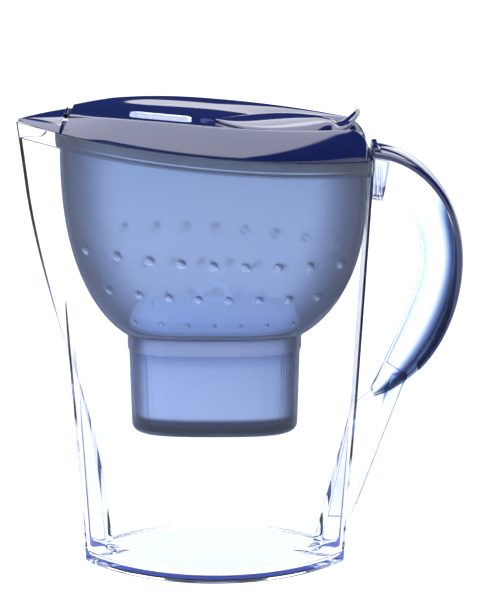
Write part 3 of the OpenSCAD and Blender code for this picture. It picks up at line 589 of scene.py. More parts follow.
grip = {
    "reach": 50.5, "depth": 23.5, "width": 26, "wall": 2.2, "top": 208, "tip": 95, "tipOut": 6,
    "trim": 5.5, "trimEnd": 0.8, "end": 0.965, "hook": 2.6, "hookOut": 0.8, "plug": (0.004, 0.06),
    "rootRibs": (1.4, 3.3, 5.2), "rootRib": 0.8,
    "webThickness": 2.6, "webBorder": 7, "borderThickness": 5, "webLow": 24, "webFrom": 0.84, "webDip": 4,
    "trimViewFrom": 0.22, "trimViewOver": 0.2, "plainTrimView": 0.4,
    "stations": 64, "chain": 36,
}


def bezier(p, t):
    u = 1 - t
    return u ** 3 * p[0] + 3 * u * u * t * p[1] + 3 * u * t * t * p[2] + t ** 3 * p[3]


def heightOnJug(z):
    return z + endX(z) * fall * unit(z / (rimHeight - jug["parallelDepth"]))


def sideX(z):
    return endX(heightOnJug(z)) + jug["weldGap"]


gripX = jug["rimLength"] / 2
midZ = blend(grip["tip"], grip["top"], 0.7)
rootZ = rimHeight - gripX * fall
trimTop = rootZ + grip["trim"] + 0.5
backX = gripX + grip["reach"]
fingerX = backX - grip["depth"]
tipX = endX(grip["tip"]) + grip["tipOut"]
rootPull, tipPull = grip["reach"] / 2, grip["reach"] * 0.47
bendUp, bendDown = (grip["top"] - grip["tip"]) * 0.34, (grip["top"] - grip["tip"]) * 0.37
rootIn = (sideX(grip["top"]), grip["top"])
rootOut = (sideX(trimTop), trimTop)
fingerCurves = [
    np.array([rootIn, (rootIn[0] + rootPull * 0.75, grip["top"] - 1),
              (fingerX, midZ + bendUp / 2), (fingerX, midZ)]),
    np.array([(fingerX, midZ), (fingerX, midZ - bendDown / 2),
              (tipX + tipPull / 4, blend(grip["tip"], grip["top"], 1 / 8)), (tipX, grip["tip"])]),
]
backCurves = [
    np.array([rootOut, (rootOut[0] + rootPull, trimTop - 2), (backX, midZ + bendUp), (backX, midZ)]),
    np.array([(backX, midZ), (backX, midZ - bendDown),
              (tipX + tipPull, grip["tip"] + 3), (tipX, grip["tip"] - 1)]),
]


def onCurves(curves, t):
    return bezier(curves[0], 2 * t) if t < 0.5 else bezier(curves[1], 2 * t - 1)


def trimDepth(t):
    if t < 0.5:
        return grip["trim"] * blend(1, 0.72, t / 0.5)
    return grip["trim"] * blend(0.72, 0.1, ease((t - 0.5) / (grip["trimEnd"] - 0.5)))


def gripHalf(t):
    return grip["width"] / 2 * (1 if t < 0.6 else blend(1, 0.3, ease((t - 0.6) / 0.4)))


def sectionDepth(t):
    return float(np.linalg.norm(onCurves(backCurves, t) - onCurves(fingerCurves, t)))


def sectionPoint(t, r, y):
    finger = onCurves(fingerCurves, t)
    away = (onCurves(backCurves, t) - finger) / sectionDepth(t)
    return (finger[0] + away[0] * r, y, finger[1] + away[1] * r)


def gripChain(t, inside):
    width = gripHalf(t) - inside
    depth = sectionDepth(t) - max(trimDepth(t), 0.3) - 0.2
    chain = []
    for a in np.linspace(-math.pi / 2, math.pi / 2, grip["chain"] + 1):
        bow = 1 - abs(math.cos(a)) ** 0.6
        chain.append(sectionPoint(t, inside + (depth - inside) * bow, width * math.sin(a)))
    return chain


def trimChain(t, outside):
    width = gripHalf(t) + 0.3
    depth = trimDepth(t)
    chain = []
    for a in np.linspace(-math.pi / 2, math.pi / 2, grip["chain"] + 1):
        crown = depth * (0.25 + 0.75 * abs(math.cos(a)) ** 0.7) if outside else 0
        chain.append(sectionPoint(t, sectionDepth(t) - depth + crown, width * math.sin(a)))
    return chain


def plate(outline, thickness, edge):
    # a flat plate in the XZ plane with rounded edges
    shape = np.array(outline)
    before, after = np.roll(shape, 1, 0), np.roll(shape, -1, 0)

    def normals(a, b):
        d = b - a
        return np.stack([-d[:, 1], d[:, 0]], 1) / np.linalg.norm(d, axis=1)[:, None]

    n1, n2 = normals(before, shape), normals(shape, after)
    miter = (n1 + n2) / np.maximum(0.35, 1 + (n1 * n2).sum(1))[:, None]
    rings = []
    for a in np.linspace(-math.pi / 2, math.pi / 2, 9):
        inset = shape + miter * edge * (1 - math.cos(a))
        y = (thickness / 2 - edge) * np.sign(a) + edge * math.sin(a)
        rings.append([(p[0], y, p[1]) for p in inset])
    return lofted(rings)


def webOutlines():
    low, top = grip["webLow"], grip["tip"] - grip["webDip"]
    start = grip["webFrom"]
    tipPoint = sectionPoint(start, sectionDepth(start) - 2, 0)
    base = np.array([sideX(low) + 1.5, low])
    outer = [blend(base, np.array([tipPoint[0], tipPoint[2]]), t) for t in np.linspace(0, 1, 12)]
    root = []
    for z in np.linspace(low, top, 25):
        apex = rearX(heightOnJug(z))
        root.append(np.array([apex + grip["webThickness"] * (sideX(z) - apex) / jug["footEnd"] + 0.4, z]))
    under = [np.array([p[0], p[2]]) for p in
             (sectionPoint(blend(grip["end"], start, t), 0.8, 0) for t in np.linspace(0, 1, 6))]
    border = [p - np.array([grip["webBorder"] * (i + 1) / 12, 0]) for i, p in enumerate(outer)]
    return root + under + outer[::-1], border[1:] + [p + np.array([0.2, 0]) for p in outer[:0:-1]]


curveSteps = np.linspace(0, 1, 121)
fingerLine = np.array([onCurves(fingerCurves, t) for t in curveSteps])
backLine = np.array([onCurves(backCurves, t) for t in curveSteps])


def nearTrim(x, z):
    # 0 on the finger side, 1 at the back; plain near the root and on the web, where the painted refraction of the
    # trim is left out
    toFinger = np.linalg.norm(fingerLine - (x, z), axis=1)
    toBack = np.linalg.norm(backLine - (x, z), axis=1)
    t = curveSteps[int(np.argmin(toBack))]
    deep = float(toFinger.min() + toBack.min())
    on = ease((t - grip["trimViewFrom"]) / grip["trimViewOver"]) * unit(3 - 2 * deep / sectionDepth(t))
    return blend(grip["plainTrimView"], float(toFinger.min()) / deep, on)


def buildGrip():
    stations = []
    for t in np.linspace(0, grip["end"], grip["stations"]):
        wall = min(grip["wall"], gripHalf(t) * 0.45, sectionDepth(t) * 0.3)
        stations.append((gripChain(t, wall), gripChain(t, 0)))
    plug = []
    for t in np.linspace(*grip["plug"], 6):
        ring = []
        depth = sectionDepth(t) - trimDepth(t) - 0.2
        for a in np.linspace(-math.pi / 2, math.pi / 2, grip["chain"] + 1):
            bow = 1 - abs(math.cos(a)) ** 0.6
            ring.append(sectionPoint(t, 0.3 + (depth - 1.3) * bow, (gripHalf(t) - 0.3) * math.sin(a)))
        plug.append(ring)
    web, border = webOutlines()
    piece = meshObject("gripShell", *stripped(stations))
    ribs, radius = [], grip["rootRib"]
    for out in grip["rootRibs"]:
        for side in (0.7 - grip["width"] / 2, grip["width"] / 2 - 0.7):
            x = rootIn[0] + out
            foot = [(x + radius * math.cos(a), side + radius * math.sin(a)) for a in turns(12)]
            ribs.append(lofted([[(px, py, z) for px, py in foot] for z in (grip["top"] + 1.5, rootZ - 3)]))
    cut(piece, ribs + [
        lofted(plug),
        plate(web, grip["webThickness"], 0.5),
        plate(border, grip["borderThickness"], 0.9),
    ], "UNION")
    pointValues(piece, "nearTrim", [nearTrim(v.co.x / mm, v.co.z / mm) for v in piece.data.vertices])
    return piece


def buildTrim():
    steps = np.linspace(0, grip["trimEnd"], grip["stations"])
    stations = [(trimChain(t, True), trimChain(t, False)) for t in steps]
    hookX, hookZ = rootOut[0] + grip["hookOut"], trimTop - grip["hook"]
    r, half = grip["hook"], grip["width"] / 2
    # the hook's end, from its dished middle out to its rim
    end = ((half - 1.2, 0.9), (half - 1.2, 1.5), (half - 0.2, 1.7), (half, r - 0.3), (half - 0.3, r))
    rings = [(-y, radius) for y, radius in end] + list(end)[::-1]
    turned = [[(hookX + radius * math.cos(a), y, hookZ - radius * math.sin(a)) for a in turns(32)]
              for y, radius in rings]
    return joinParts([stripped(stations), lofted(turned)])


dress(buildGrip(), clearGripPlastic, "jug", "handle_grip")
dress(meshObject("gripTrim", *buildTrim()), trimGloss, "jug", "handle_trim")
print("handle made")


# hopper with its chamber

hopper = {
    "wall": 1.8, "bandGap": 0.35, "shoulder": 135, "chamberDepth": 57, "chamberLength": 96,
    "chamberWidth": 56, "taper": 1.9, "collar": 9, "collarStep": 0.8, "corner": 4,
    "outlet": 40, "ovalPower": 3.2, "bowlLevels": 44, "endRound": 5, "tipRound": 3,
}
bandOut = jug["lipWall"] + hopper["bandGap"]
bandIn = bandOut + hopper["wall"]
bowlOut = jug["wall"] + 1.6
chamberZ = hopper["shoulder"] - hopper["chamberDepth"]
ledgeZ = rimHeight - jug["ledgeDepth"]


def bluntRing(z, inset):
    end = endX(z)
    return lensRing(end, endHalfAt(z), midHalfAt(z), end, end, inset,
                    hopper["endRound"] + inset, hopper["tipRound"])


def ovalRing(halfLength, halfWidth):
    l, w, power = jug["rimLength"] / 2, jug["rimWidth"] / 2, hopper["ovalPower"]
    ring = []
    for p in lensRing(l, jug["rimEnd"] / 2, w, l, l, 0, hopper["endRound"], hopper["tipRound"]):
        u, v = abs(p[0]) / l, abs(p[1]) / w
        s = (u ** power + v ** power) ** (-1 / power)
        x, y = math.copysign(u * s * halfLength, p[0]), math.copysign(v * s * halfWidth, p[1])
        ring.append(np.array([x, y]))
    return ring


bowlLow = (hopper["chamberLength"] / 2 + 1.3, hopper["chamberWidth"] / 2 + 1.3)
bowlLowRing = ovalRing(*bowlLow)
bowlTopRing = bluntRing(ledgeZ, bowlOut)


def bowlSpread(u):
    # how far the bowl has opened at a share of its height
    return (1 - (1 - u) ** 2.6) ** 0.75


def bowlRing(u):
    return [blend(a, b, bowlSpread(u)) for a, b in zip(bowlLowRing, bowlTopRing)]


def insetRing(ring, amount):
    shape = np.array(ring)
    along = np.roll(shape, -1, 0) - np.roll(shape, 1, 0)
    inward = np.stack([-along[:, 1], along[:, 0]], 1) / np.linalg.norm(along, axis=1)[:, None]
    return list(shape + inward * amount)


def bowlZ(u):
    return blend(hopper["shoulder"], ledgeZ, u)


def chamberHalf(z):
    # half length and half width of the chamber's outside at a height
    plain = hopper["chamberDepth"] - hopper["collar"] - hopper["corner"]
    t = unit((z - chamberZ - hopper["corner"]) / plain)
    less = blend(hopper["taper"], hopper["collarStep"], t)
    return hopper["chamberLength"] / 2 - less, hopper["chamberWidth"] / 2 - less


def buildHopper():
    wall, corner, shoulder = hopper["wall"], hopper["corner"], hopper["shoulder"]
    collarZ = shoulder - hopper["collar"]
    low = (hopper["chamberLength"] / 2 - hopper["taper"], hopper["chamberWidth"] / 2 - hopper["taper"])
    top = (hopper["chamberLength"] / 2, hopper["chamberWidth"] / 2)
    outlet = (hopper["outlet"] / 2, hopper["outlet"] / 4)
    step = hopper["collarStep"]

    def at(half, less, z):
        return leaned(ovalRing(half[0] - less, half[1] - less), z, shoulder)

    rings = [at(outlet, 0, chamberZ), at(outlet, -1, chamberZ), at(low, corner + 2, chamberZ)]
    rings += [at(low, corner * (1 - math.sin(a)), chamberZ + corner * (1 - math.cos(a)))
              for a in np.linspace(0, math.pi / 2, 8)]
    for z in np.linspace(chamberZ + corner, collarZ - 1, 14)[1:]:
        rings.append(leaned(ovalRing(*chamberHalf(z)), z, shoulder))
    rings += [at(top, 0.3, collarZ - 0.7), at(top, 0.05, collarZ - 0.3), at(top, 0, collarZ)]
    rings += [at(top, 0, shoulder - 0.6), at(top, 0, shoulder - 0.2), at(top, -0.3, shoulder)]
    levels = [(k / hopper["bowlLevels"]) ** 1.8 for k in range(hopper["bowlLevels"] + 1)]
    rings += [leaned(bowlRing(u), bowlZ(u), shoulder) for u in levels]
    under = ledgeZ + 0.1
    rings += [leaned(bluntRing(ledgeZ, bandOut + 0.5), under, shoulder),
              leaned(bluntRing(ledgeZ, bandOut + 0.1), under + 0.15, shoulder),
              leaned(bluntRing(ledgeZ, bandOut), under + 0.6, shoulder)]
    rim = rimHeight - 0.6
    half = wall / 2
    for a in np.linspace(0, math.pi, 9):
        lip = bluntRing(rimHeight, bandOut + half - half * math.cos(a))
        rings.append(leaned(lip, rim - half + half * math.sin(a), shoulder))
    rings += [leaned(bluntRing(ledgeZ, bandIn), ledgeZ + wall + 0.6, shoulder),
              leaned(bluntRing(ledgeZ, bandIn + 0.15), ledgeZ + wall + 0.15, shoulder),
              leaned(bluntRing(ledgeZ, bandIn + 0.6), ledgeZ + wall, shoulder)]
    for u in levels[::-1]:
        rings.append(leaned(insetRing(bowlRing(u), wall), bowlZ(u) + wall * (1 - u ** 4), shoulder))
    rings += [at(top, step + wall - 0.3, shoulder + wall), at(top, step + wall, shoulder + wall - 0.4)]
    for z in np.linspace(shoulder, chamberZ + corner, 10):
        halfLength, halfWidth = chamberHalf(min(z, collarZ - 1))
        rings.append(leaned(ovalRing(halfLength - wall, halfWidth - wall), z, shoulder))
    small = corner - wall
    rings += [at(low, wall + small * (1 - math.cos(a)), chamberZ + corner - small * math.sin(a))
              for a in np.linspace(0, math.pi / 2, 6)[1:]]
    rings += [at(outlet, 0, chamberZ + wall)]
    return lofted(rings, joined=True)


def buildChamberRibs():
    # fine upright ribs near the ends of the chamber's long sides
    rib = {"x": 38, "radius": 0.8, "sides": 8}
    parts, radius = [], rib["radius"]
    for end, side in ((-1, -1), (1, -1), (-1, 1), (1, 1)):
        rings = []
        for z in np.linspace(chamberZ + 6, hopper["shoulder"] - hopper["collar"] - 2, 12):
            halfLength, halfWidth = chamberHalf(z)
            x = rib["x"] * halfLength / (hopper["chamberLength"] / 2)
            power = hopper["ovalPower"]
            y = halfWidth * (1 - (x / halfLength) ** power) ** (1 / power)
            rings.append([(end * x + radius * math.cos(a), side * y + radius * math.sin(a), z)
                          for a in turns(rib["sides"])])
        parts.append(lofted(rings))
    return parts


# dimples in rows round the bowl, sunk by a node tree

dimples = {
    # height, count, pitch and radius of each row
    "rows": ((181, 9, 17.2, 2.7), (161.5, 8, 17.4, 2.3), (145.5, 7, 16.4, 1.4)),
    "sink": 1.0, "lift": 0.6,
}


def bowlSurface(x, z, side):
    u = (z - hopper["shoulder"]) / (ledgeZ - hopper["shoulder"])
    ring = [p for p in bowlRing(u) if p[1] * side > 0 and abs(p[0]) < 80]
    ring.sort(key=lambda p: p[0])
    return float(np.interp(x, [p[0] for p in ring], [p[1] for p in ring]))


def dimpleSites():
    points, outward, radii = [], [], []
    for z, count, pitch, radius in dimples["rows"]:
        for side in (-1, 1):
            for k in range(count):
                x = (k - (count - 1) / 2) * pitch * unit(0.8 + (z - 130) / 250)
                y = bowlSurface(x, z, side)
                alongX = np.array([1, (bowlSurface(x + 1, z, side) - bowlSurface(x - 1, z, side)) / 2, 0])
                alongZ = np.array([0, (bowlSurface(x, z + 1, side) - bowlSurface(x, z - 1, side)) / 2, 1])
                normal = np.cross(alongX, alongZ)
                normal *= -1 if normal[1] * side < 0 else 1
                points += leaned([(x, y)], z, hopper["shoulder"])
                outward.append(normal / np.linalg.norm(normal))
                radii.append(radius)
    return points, outward, radii


def dimpleTree():
    tree = bpy.data.node_groups.new("dimpleRows", "GeometryNodeTree")
    face = tree.interface
    face.new_socket(name="Geometry", in_out="OUTPUT", socket_type="NodeSocketGeometry")
    face.new_socket(name="Geometry", in_out="INPUT", socket_type="NodeSocketGeometry")
    face.new_socket(name="Sites", in_out="INPUT", socket_type="NodeSocketObject")
    face.new_socket(name="Sink", in_out="INPUT", socket_type="NodeSocketFloat")
    face.new_socket(name="Lift", in_out="INPUT", socket_type="NodeSocketFloat")
    face.new_socket(name="Material", in_out="INPUT", socket_type="NodeSocketMaterial")
    make, link = tree.nodes.new, tree.links.new
    entry, leave = make("NodeGroupInput"), make("NodeGroupOutput")
    sites, ball = make("GeometryNodeObjectInfo"), make("GeometryNodeMeshUVSphere")
    link(entry.outputs["Sites"], sites.inputs["Object"])
    setAll(ball, {"Segments": 24, "Rings": 16, "Radius": 1.0})
    # each ball is raised, so that only its cap cuts in
    dome, up = make("GeometryNodeTransform"), make("ShaderNodeCombineXYZ")
    link(ball.outputs["Mesh"], dome.inputs["Geometry"])
    link(entry.outputs["Lift"], up.inputs["Z"])
    link(up.outputs["Vector"], dome.inputs["Translation"])
    normal, radius = make("GeometryNodeInputNamedAttribute"), make("GeometryNodeInputNamedAttribute")
    normal.data_type = "FLOAT_VECTOR"
    normal.inputs["Name"].default_value = "outward"
    radius.inputs["Name"].default_value = "radius"
    turn, size = make("FunctionNodeAlignRotationToVector"), make("ShaderNodeCombineXYZ")
    link(normal.outputs["Attribute"], turn.inputs["Vector"])
    link(radius.outputs["Attribute"], size.inputs["X"])
    link(radius.outputs["Attribute"], size.inputs["Y"])
    link(entry.outputs["Sink"], size.inputs["Z"])
    spread = make("GeometryNodeInstanceOnPoints")
    link(sites.outputs["Geometry"], spread.inputs["Points"])
    link(dome.outputs["Geometry"], spread.inputs["Instance"])
    link(turn.outputs["Rotation"], spread.inputs["Rotation"])
    link(size.outputs["Vector"], spread.inputs["Scale"])
    domes, carve = make("GeometryNodeRealizeInstances"), make("GeometryNodeMeshBoolean")
    link(spread.outputs["Instances"], domes.inputs["Geometry"])
    carve.operation, carve.solver = "DIFFERENCE", "EXACT"
    link(entry.outputs["Geometry"], carve.inputs["Mesh 1"])
    link(domes.outputs["Geometry"], carve.inputs["Mesh 2"])
    real, paint = make("GeometryNodeRealizeInstances"), make("GeometryNodeSetMaterial")
    link(carve.outputs["Mesh"], real.inputs["Geometry"])
    link(real.outputs["Geometry"], paint.inputs["Geometry"])
    link(entry.outputs["Material"], paint.inputs["Material"])
    link(paint.outputs["Geometry"], leave.inputs["Geometry"])
    return tree


def bakeNodes(piece, tree, values):
    grown = piece.modifiers.new("grown", "NODES")
    grown.node_group = tree
    for item in tree.interface.items_tree:
        if item.in_out == "INPUT" and item.name in values:
            grown[item.identifier] = values[item.name]
    return settled(piece)


def sinkDimples(piece):
    points, outward, radii = dimpleSites()
    sites = meshObject("dimpleSites", points, [])
    ways = sites.data.attributes.new("outward", "FLOAT_VECTOR", "POINT")
    ways.data.foreach_set("vector", np.ravel(outward))
    lift = dimples["lift"]
    pointValues(sites, "radius", np.array(radii) * mm / math.sqrt(1 - lift ** 2))
    bakeNodes(piece, dimpleTree(), {
        "Sites": sites, "Sink": dimples["sink"] / (1 - lift) * mm, "Lift": lift, "Material": hopperPlastic})
    bpy.data.objects.remove(sites)
    return piece


# painted shade and painted highlights on the hopper's ends and dents
shading = {"darkest": 0.8, "chamberFrom": 36, "chamberOver": 7, "bowlOver": 30,
           "dentEdge": (0.85, 0.3), "dentLight": (0.6, 0.8), "dentDepth": 1.5, "dentShadeOffset": 0.15}


def hopperShade(spot, sites, radii):
    # painted shade: darker at the ends of bowl and chamber, where the end walls are seen edge on; each dent has
    # painted shade towards the handle and the rim and a painted highlight opposite
    x, z = abs(spot[0]), spot[2]
    if z < hopper["shoulder"]:
        dark = shading["darkest"] * ease((x - shading["chamberFrom"]) / shading["chamberOver"])
    else:
        u = unit((z - hopper["shoulder"]) / (ledgeZ - hopper["shoulder"]))
        end = blend(bowlLow[0], endX(ledgeZ) - bowlOut, bowlSpread(u))
        dark = shading["darkest"] * ease((x - end + shading["bowlOver"]) / shading["bowlOver"])
    away = spot - sites
    near = np.linalg.norm(away, axis=1)
    k = int(np.argmin(near))
    edge, fade = shading["dentEdge"]
    inDent = 1 - ease((near[k] / radii[k] - edge) / fade)
    alongX, alongZ = shading["dentLight"]
    lit = (alongX * away[k][0] + alongZ * away[k][2]) / radii[k]
    return blend(dark, max(-1.0, min(1.0, shading["dentDepth"] * lit + shading["dentShadeOffset"])), inDent)


def shadeHopper(piece):
    points, outward, radii = dimpleSites()
    sites = np.array(points) + np.array(outward) * -0.3
    shades = [hopperShade(np.array(v.co) / mm, sites, radii) for v in piece.data.vertices]
    pointValues(piece, "shade", shades)
    return piece


hopperPiece = meshObject("hopper", *buildHopper())
cut(hopperPiece, buildChamberRibs(), "UNION")
dress(shadeHopper(sinkDimples(hopperPiece)), hopperPlastic, "funnel", "funnel")
print("hopper made")


# lid

lid = {
    "seat": 0.3, "ridge": 15, "deck": 10, "wall": 2.0, "split": 79.5, "nose": 84.5, "hinge": 68,
    "hingeLift": 2, "spoutPinOut": 0.9, "spoutPinUp": 7.4,
    "flapWidth": 38, "tab": 24, "rake": 0.45, "bandLean": 0.62,
    "window": (34, 18), "windowX": 29, "windowRound": 4, "button": 3.8, "buttonX": 4,
    "stations": 110, "band": 14, "valley": 16,
}


def rimHalf(x):
    l, e, w = jug["rimLength"] / 2, jug["rimEnd"] / 2, jug["rimWidth"] / 2
    radius = (l * l + (w - e) ** 2) / (2 * (w - e))
    return w - radius + math.sqrt(radius ** 2 - x * x)


def lidHalf(x):
    edge = lid["nose"] - 4
    return rimHalf(min(x, edge)) - (8 * ((x - edge) / 4) ** 2 if x > edge else 0)


def ridgeZ(x):
    if x < 0:
        return lid["ridge"] - 5.5 * (-x / lid["split"]) ** 2.2
    if x < lid["nose"] - 12:
        return lid["ridge"] + x / 76
    return (lid["ridge"] + 1) * math.sqrt(1 - ((x - lid["nose"] + 12) / 12.4) ** 2)


def deckZ(x):
    dip = 0.8 * ease((-x - 52) / 26) + 1.6 * ease((x - lid["hinge"] + 12) / 12)
    return min(ridgeZ(x) * 0.93, lid["deck"] - dip)


def ridgeHalf(x):
    return lidHalf(x) - lid["bandLean"] * ridgeZ(x)


def deckHalf(x):
    return min(21, ridgeHalf(x) * 0.56)


def lidProfile(x, inside):
    # half section from the lower edge over the ridge to the middle
    wall = lid["wall"] if inside else 0
    w = lidHalf(x) - wall
    r = max(1.2, ridgeHalf(x) - 0.6 * wall)
    z = ridgeZ(x) - wall
    d = min(deckHalf(x), r * 0.8)
    low = min(z * 0.95, deckZ(x) - wall)
    half = []
    for s in np.linspace(0, 1, lid["band"]) ** 0.8:
        half.append((w - (w - r) * s ** 1.7, blend(lid["seat"], z, s)))
    inner = max(r - 1, r * 0.9)
    half[-1] = (half[-1][0] + 0.12, half[-1][1] - 0.25)
    half += [(blend(r, inner, 0.25), z + 0.02), (blend(r, inner, 0.6), z + 0.06), (inner, z)]
    for s in np.linspace(0, 1, lid["valley"])[1:]:
        half.append((blend(inner, d, s), blend(z, low, ease(s))))
    half += [(d * t, low) for t in (0.8, 0.6, 0.4, 0.2)]
    return half


def raked(x, z):
    return x + lid["rake"] * z * unit(1 - (x + lid["split"] + 2) / 25)


def lidChain(x, half):
    whole = [(-y, z) for y, z in half] + [(0.0, half[-1][1])] + list(half)[::-1]
    return [(raked(x, z), y, rimHeight + z - raked(x, z) * fall) for y, z in whole]


def buildLidShell():
    front, nose = -lid["split"] - 2, lid["nose"]
    stations = list(np.linspace(front, nose - 12, lid["stations"]))
    stations += [nose - 12 + 12 * math.sin(a) for a in np.linspace(0, math.pi / 2, 18)[1:]]
    shell = stripped([[lidChain(x, lidProfile(x, inside)) for inside in (True, False)] for x in stations])
    parts = [shell]
    for start, end in ((front, front + 2), (nose - 2, nose)):
        walls = []
        for x in (start, end):
            half = [(y - 0.3, max(2.8, z - 0.3)) for y, z in lidProfile(x, False)]
            walls.append((lidChain(x, [(y, 2.3) for y, z in half]), lidChain(x, half)))
        parts.append(stripped(walls))
    return joinParts(parts)


def flatRing(outline, z):
    return [(p[0], p[1], z) for p in outline]


def roundedSlot(length, width, radius, count=9):
    corners = ((1, -1, -90), (1, 1, 0), (-1, 1, 90), (-1, -1, 180))
    ring = []
    for sx, sy, start in corners:
        cx, cy = sx * (length / 2 - radius), sy * (width / 2 - radius)
        for a in np.radians(np.linspace(start, start + 90, count)):
            ring.append((cx + radius * math.cos(a), cy + radius * math.sin(a)))
    return ring


def onDeck(ring, x0):
    # from the deck's own plane at x0 to the frame
    a = math.radians(jug["rimFall"])
    placed = []
    for x, y, z in ring:
        placed.append((x0 + x * math.cos(a) + z * math.sin(a), y,
                       rimHeight + lid["deck"] - x0 * fall - x * math.sin(a) + z * math.cos(a)))
    return placed


def leafHalf(x):
    t = unit((x - 1) / (lid["hinge"] + 8 - 1))
    return lid["flapWidth"] / 2 * math.sin(math.pi * t ** 0.85)


def refillOpening(low, high):
    front, end = 10, lid["hinge"] - 10
    side = [(x, leafHalf(x) - 4) for x in np.linspace(front, end, 30)]
    ring = [(x, -y) for x, y in side] + side[::-1]
    return lofted([flatRing(ring, low), flatRing(ring, high)])


def cylinderAlongY(centre, radius, y0, y1, sides=24):
    return lofted([[(centre[0] + radius * math.cos(a), y, centre[1] - radius * math.sin(a)) for a in turns(sides)]
                   for y in (y0, y1)])


def block(x0, x1, y0, y1, z0, z1):
    return lofted([[(x0, y0, z), (x1, y0, z), (x1, y1, z), (x0, y1, z)] for z in (z0, z1)])


hingeZ = lid["deck"] + lid["hingeLift"]
hingeAt = (lid["hinge"], rimHeight + hingeZ - lid["hinge"] * fall)
spoutAt = (-lid["split"] - lid["spoutPinOut"],
           rimHeight + lid["spoutPinUp"] + (lid["split"] + lid["spoutPinOut"]) * fall)
ears = {"inner": 10.6, "thick": 2.6, "round": 2.1, "spoutInner": 6, "spoutThick": 2.4, "spoutRound": 1.5,
        "gap": 0.3, "notch": 0.8}


def earSpan(side, inner, thick):
    y0 = inner if side > 0 else -inner - thick
    return y0, y0 + thick


def lidEars():
    parts = []
    for side in (-1, 1):
        y0, y1 = earSpan(side, ears["inner"], ears["thick"])
        parts.append(cylinderAlongY(hingeAt, ears["round"], y0, y1))
        low = hingeAt[1] - hingeZ + deckZ(lid["hinge"]) - 1
        parts.append(block(hingeAt[0] - ears["round"], hingeAt[0] + ears["round"], y0, y1, low, hingeAt[1]))
        y0, y1 = earSpan(side, ears["spoutInner"], ears["spoutThick"])
        parts.append(cylinderAlongY(spoutAt, ears["spoutRound"], y0, y1))
        parts.append(block(spoutAt[0], spoutAt[0] + 6, y0, y1,
                           spoutAt[1] - ears["spoutRound"], spoutAt[1] + ears["spoutRound"] - 0.6))
    return joinParts(parts)


def buildLid():
    piece = meshObject("lidShell", *buildLidShell())
    length, width = lid["window"]
    window = roundedSlot(length, width, lid["windowRound"])
    slot = [onDeck(flatRing(window, z), -lid["windowX"]) for z in (-6, 6)]
    hole = [(lid["button"] * math.cos(a), lid["button"] * math.sin(a)) for a in turns(40)]
    button = [onDeck(flatRing(hole, z), -lid["buttonX"]) for z in (-6, 6)]
    cut(piece, [lofted(slot), lofted(button), refillOpening(rimHeight - 20, rimHeight + 40)])
    return piece, meshObject("lidEars", *lidEars())


lidPiece, earPiece = buildLid()
dress(lidPiece, navyGloss, "lid", "lid_shell")
dress(earPiece, navyGloss, "lid")
print("lid made")


# refill flap with its thumb tab

flap = {"gap": 0.3, "hood": 7, "thick": 1.2, "stations": 46, "chain": 30}


def smoothRow(rows, t):
    # a smooth curve through rows of numbers
    count = len(rows) - 1
    k = min(int(t * count), count - 1)
    f = t * count - k
    p = [np.array(rows[min(max(i, 0), count)], float) for i in (k - 1, k, k + 1, k + 2)]
    return 0.5 * (2 * p[1] + (p[2] - p[0]) * f + (2 * p[0] - 5 * p[1] + 4 * p[2] - p[3]) * f ** 2
                  + (3 * p[1] - p[0] - 3 * p[2] + p[3]) * f ** 3)


def hoodStation(t):
    x = blend(1, lid["hinge"] - 4, t)
    rise = flap["hood"] * math.sin(math.radians(min(90, 115 * t))) ** 1.1 + 0.2
    return [x, deckZ(x) + flap["gap"], 0, max(0.8, leafHalf(x)), rise, flap["thick"]]


def tabStation(t):
    h, z = lid["hinge"], hingeZ
    rows = [
        hoodStation(1),
        [h + 1, z + 0.6, 25, 9.6, 1.6, 2],
        [h + 5, blend(z, lid["tab"], 0.28), 45, 10.4, 0.4, 2],
        [h + 8.2, blend(z, lid["tab"], 0.58), 60, 9.4, -1, 1.9],
        [h + 10.2, blend(z, lid["tab"], 0.84), 68, 6.4, -1.4, 1.8],
        [h + 11, lid["tab"], 72, 2.5, -0.4, 1.6],
    ]
    return smoothRow(rows, t)


def flapChain(station, top):
    x0, z0, tilt, half, camber, thick = station
    a = math.radians(tilt)
    chain = []
    for v in np.sin(np.linspace(-math.pi / 2, math.pi / 2, flap["chain"] + 1)):
        bulge = camber * (1 - v * v)
        if top:
            h = bulge + thick * (0.25 + 0.75 * (1 - v ** 8) ** 0.5)
        else:
            h = max(0, bulge - (0.8 if camber > 3 else 0.8 * unit(camber / 3))) + min(0, bulge)
        x, z = x0 - h * math.sin(a), z0 + h * math.cos(a)
        chain.append((x, v * half, rimHeight + z - x * fall))
    return chain


def buildFlap():
    stations = [hoodStation(t) for t in np.linspace(0, 1, flap["stations"])]
    stations += [tabStation(t) for t in np.linspace(0, 1, 36)[1:]]
    leaf = stripped([(flapChain(s, False), flapChain(s, True)) for s in stations])
    knuckle = cylinderAlongY(hingeAt, ears["round"], -ears["inner"] + ears["gap"], ears["inner"] - ears["gap"])
    return joinParts([leaf, knuckle])


dress(meshObject("refillLeaf", *buildFlap()), navyGloss, "refill_flap", "refill_flap")
print("refill flap made")


# flap over the beak

spout = {"gap": 1.5, "rake": 0.35, "wall": 1.4, "stations": 40, "chain": 36}
spoutReach = beakX - 2.5


def spoutShare(x):
    return unit((-x - lid["split"]) / (spoutReach - lid["split"]))


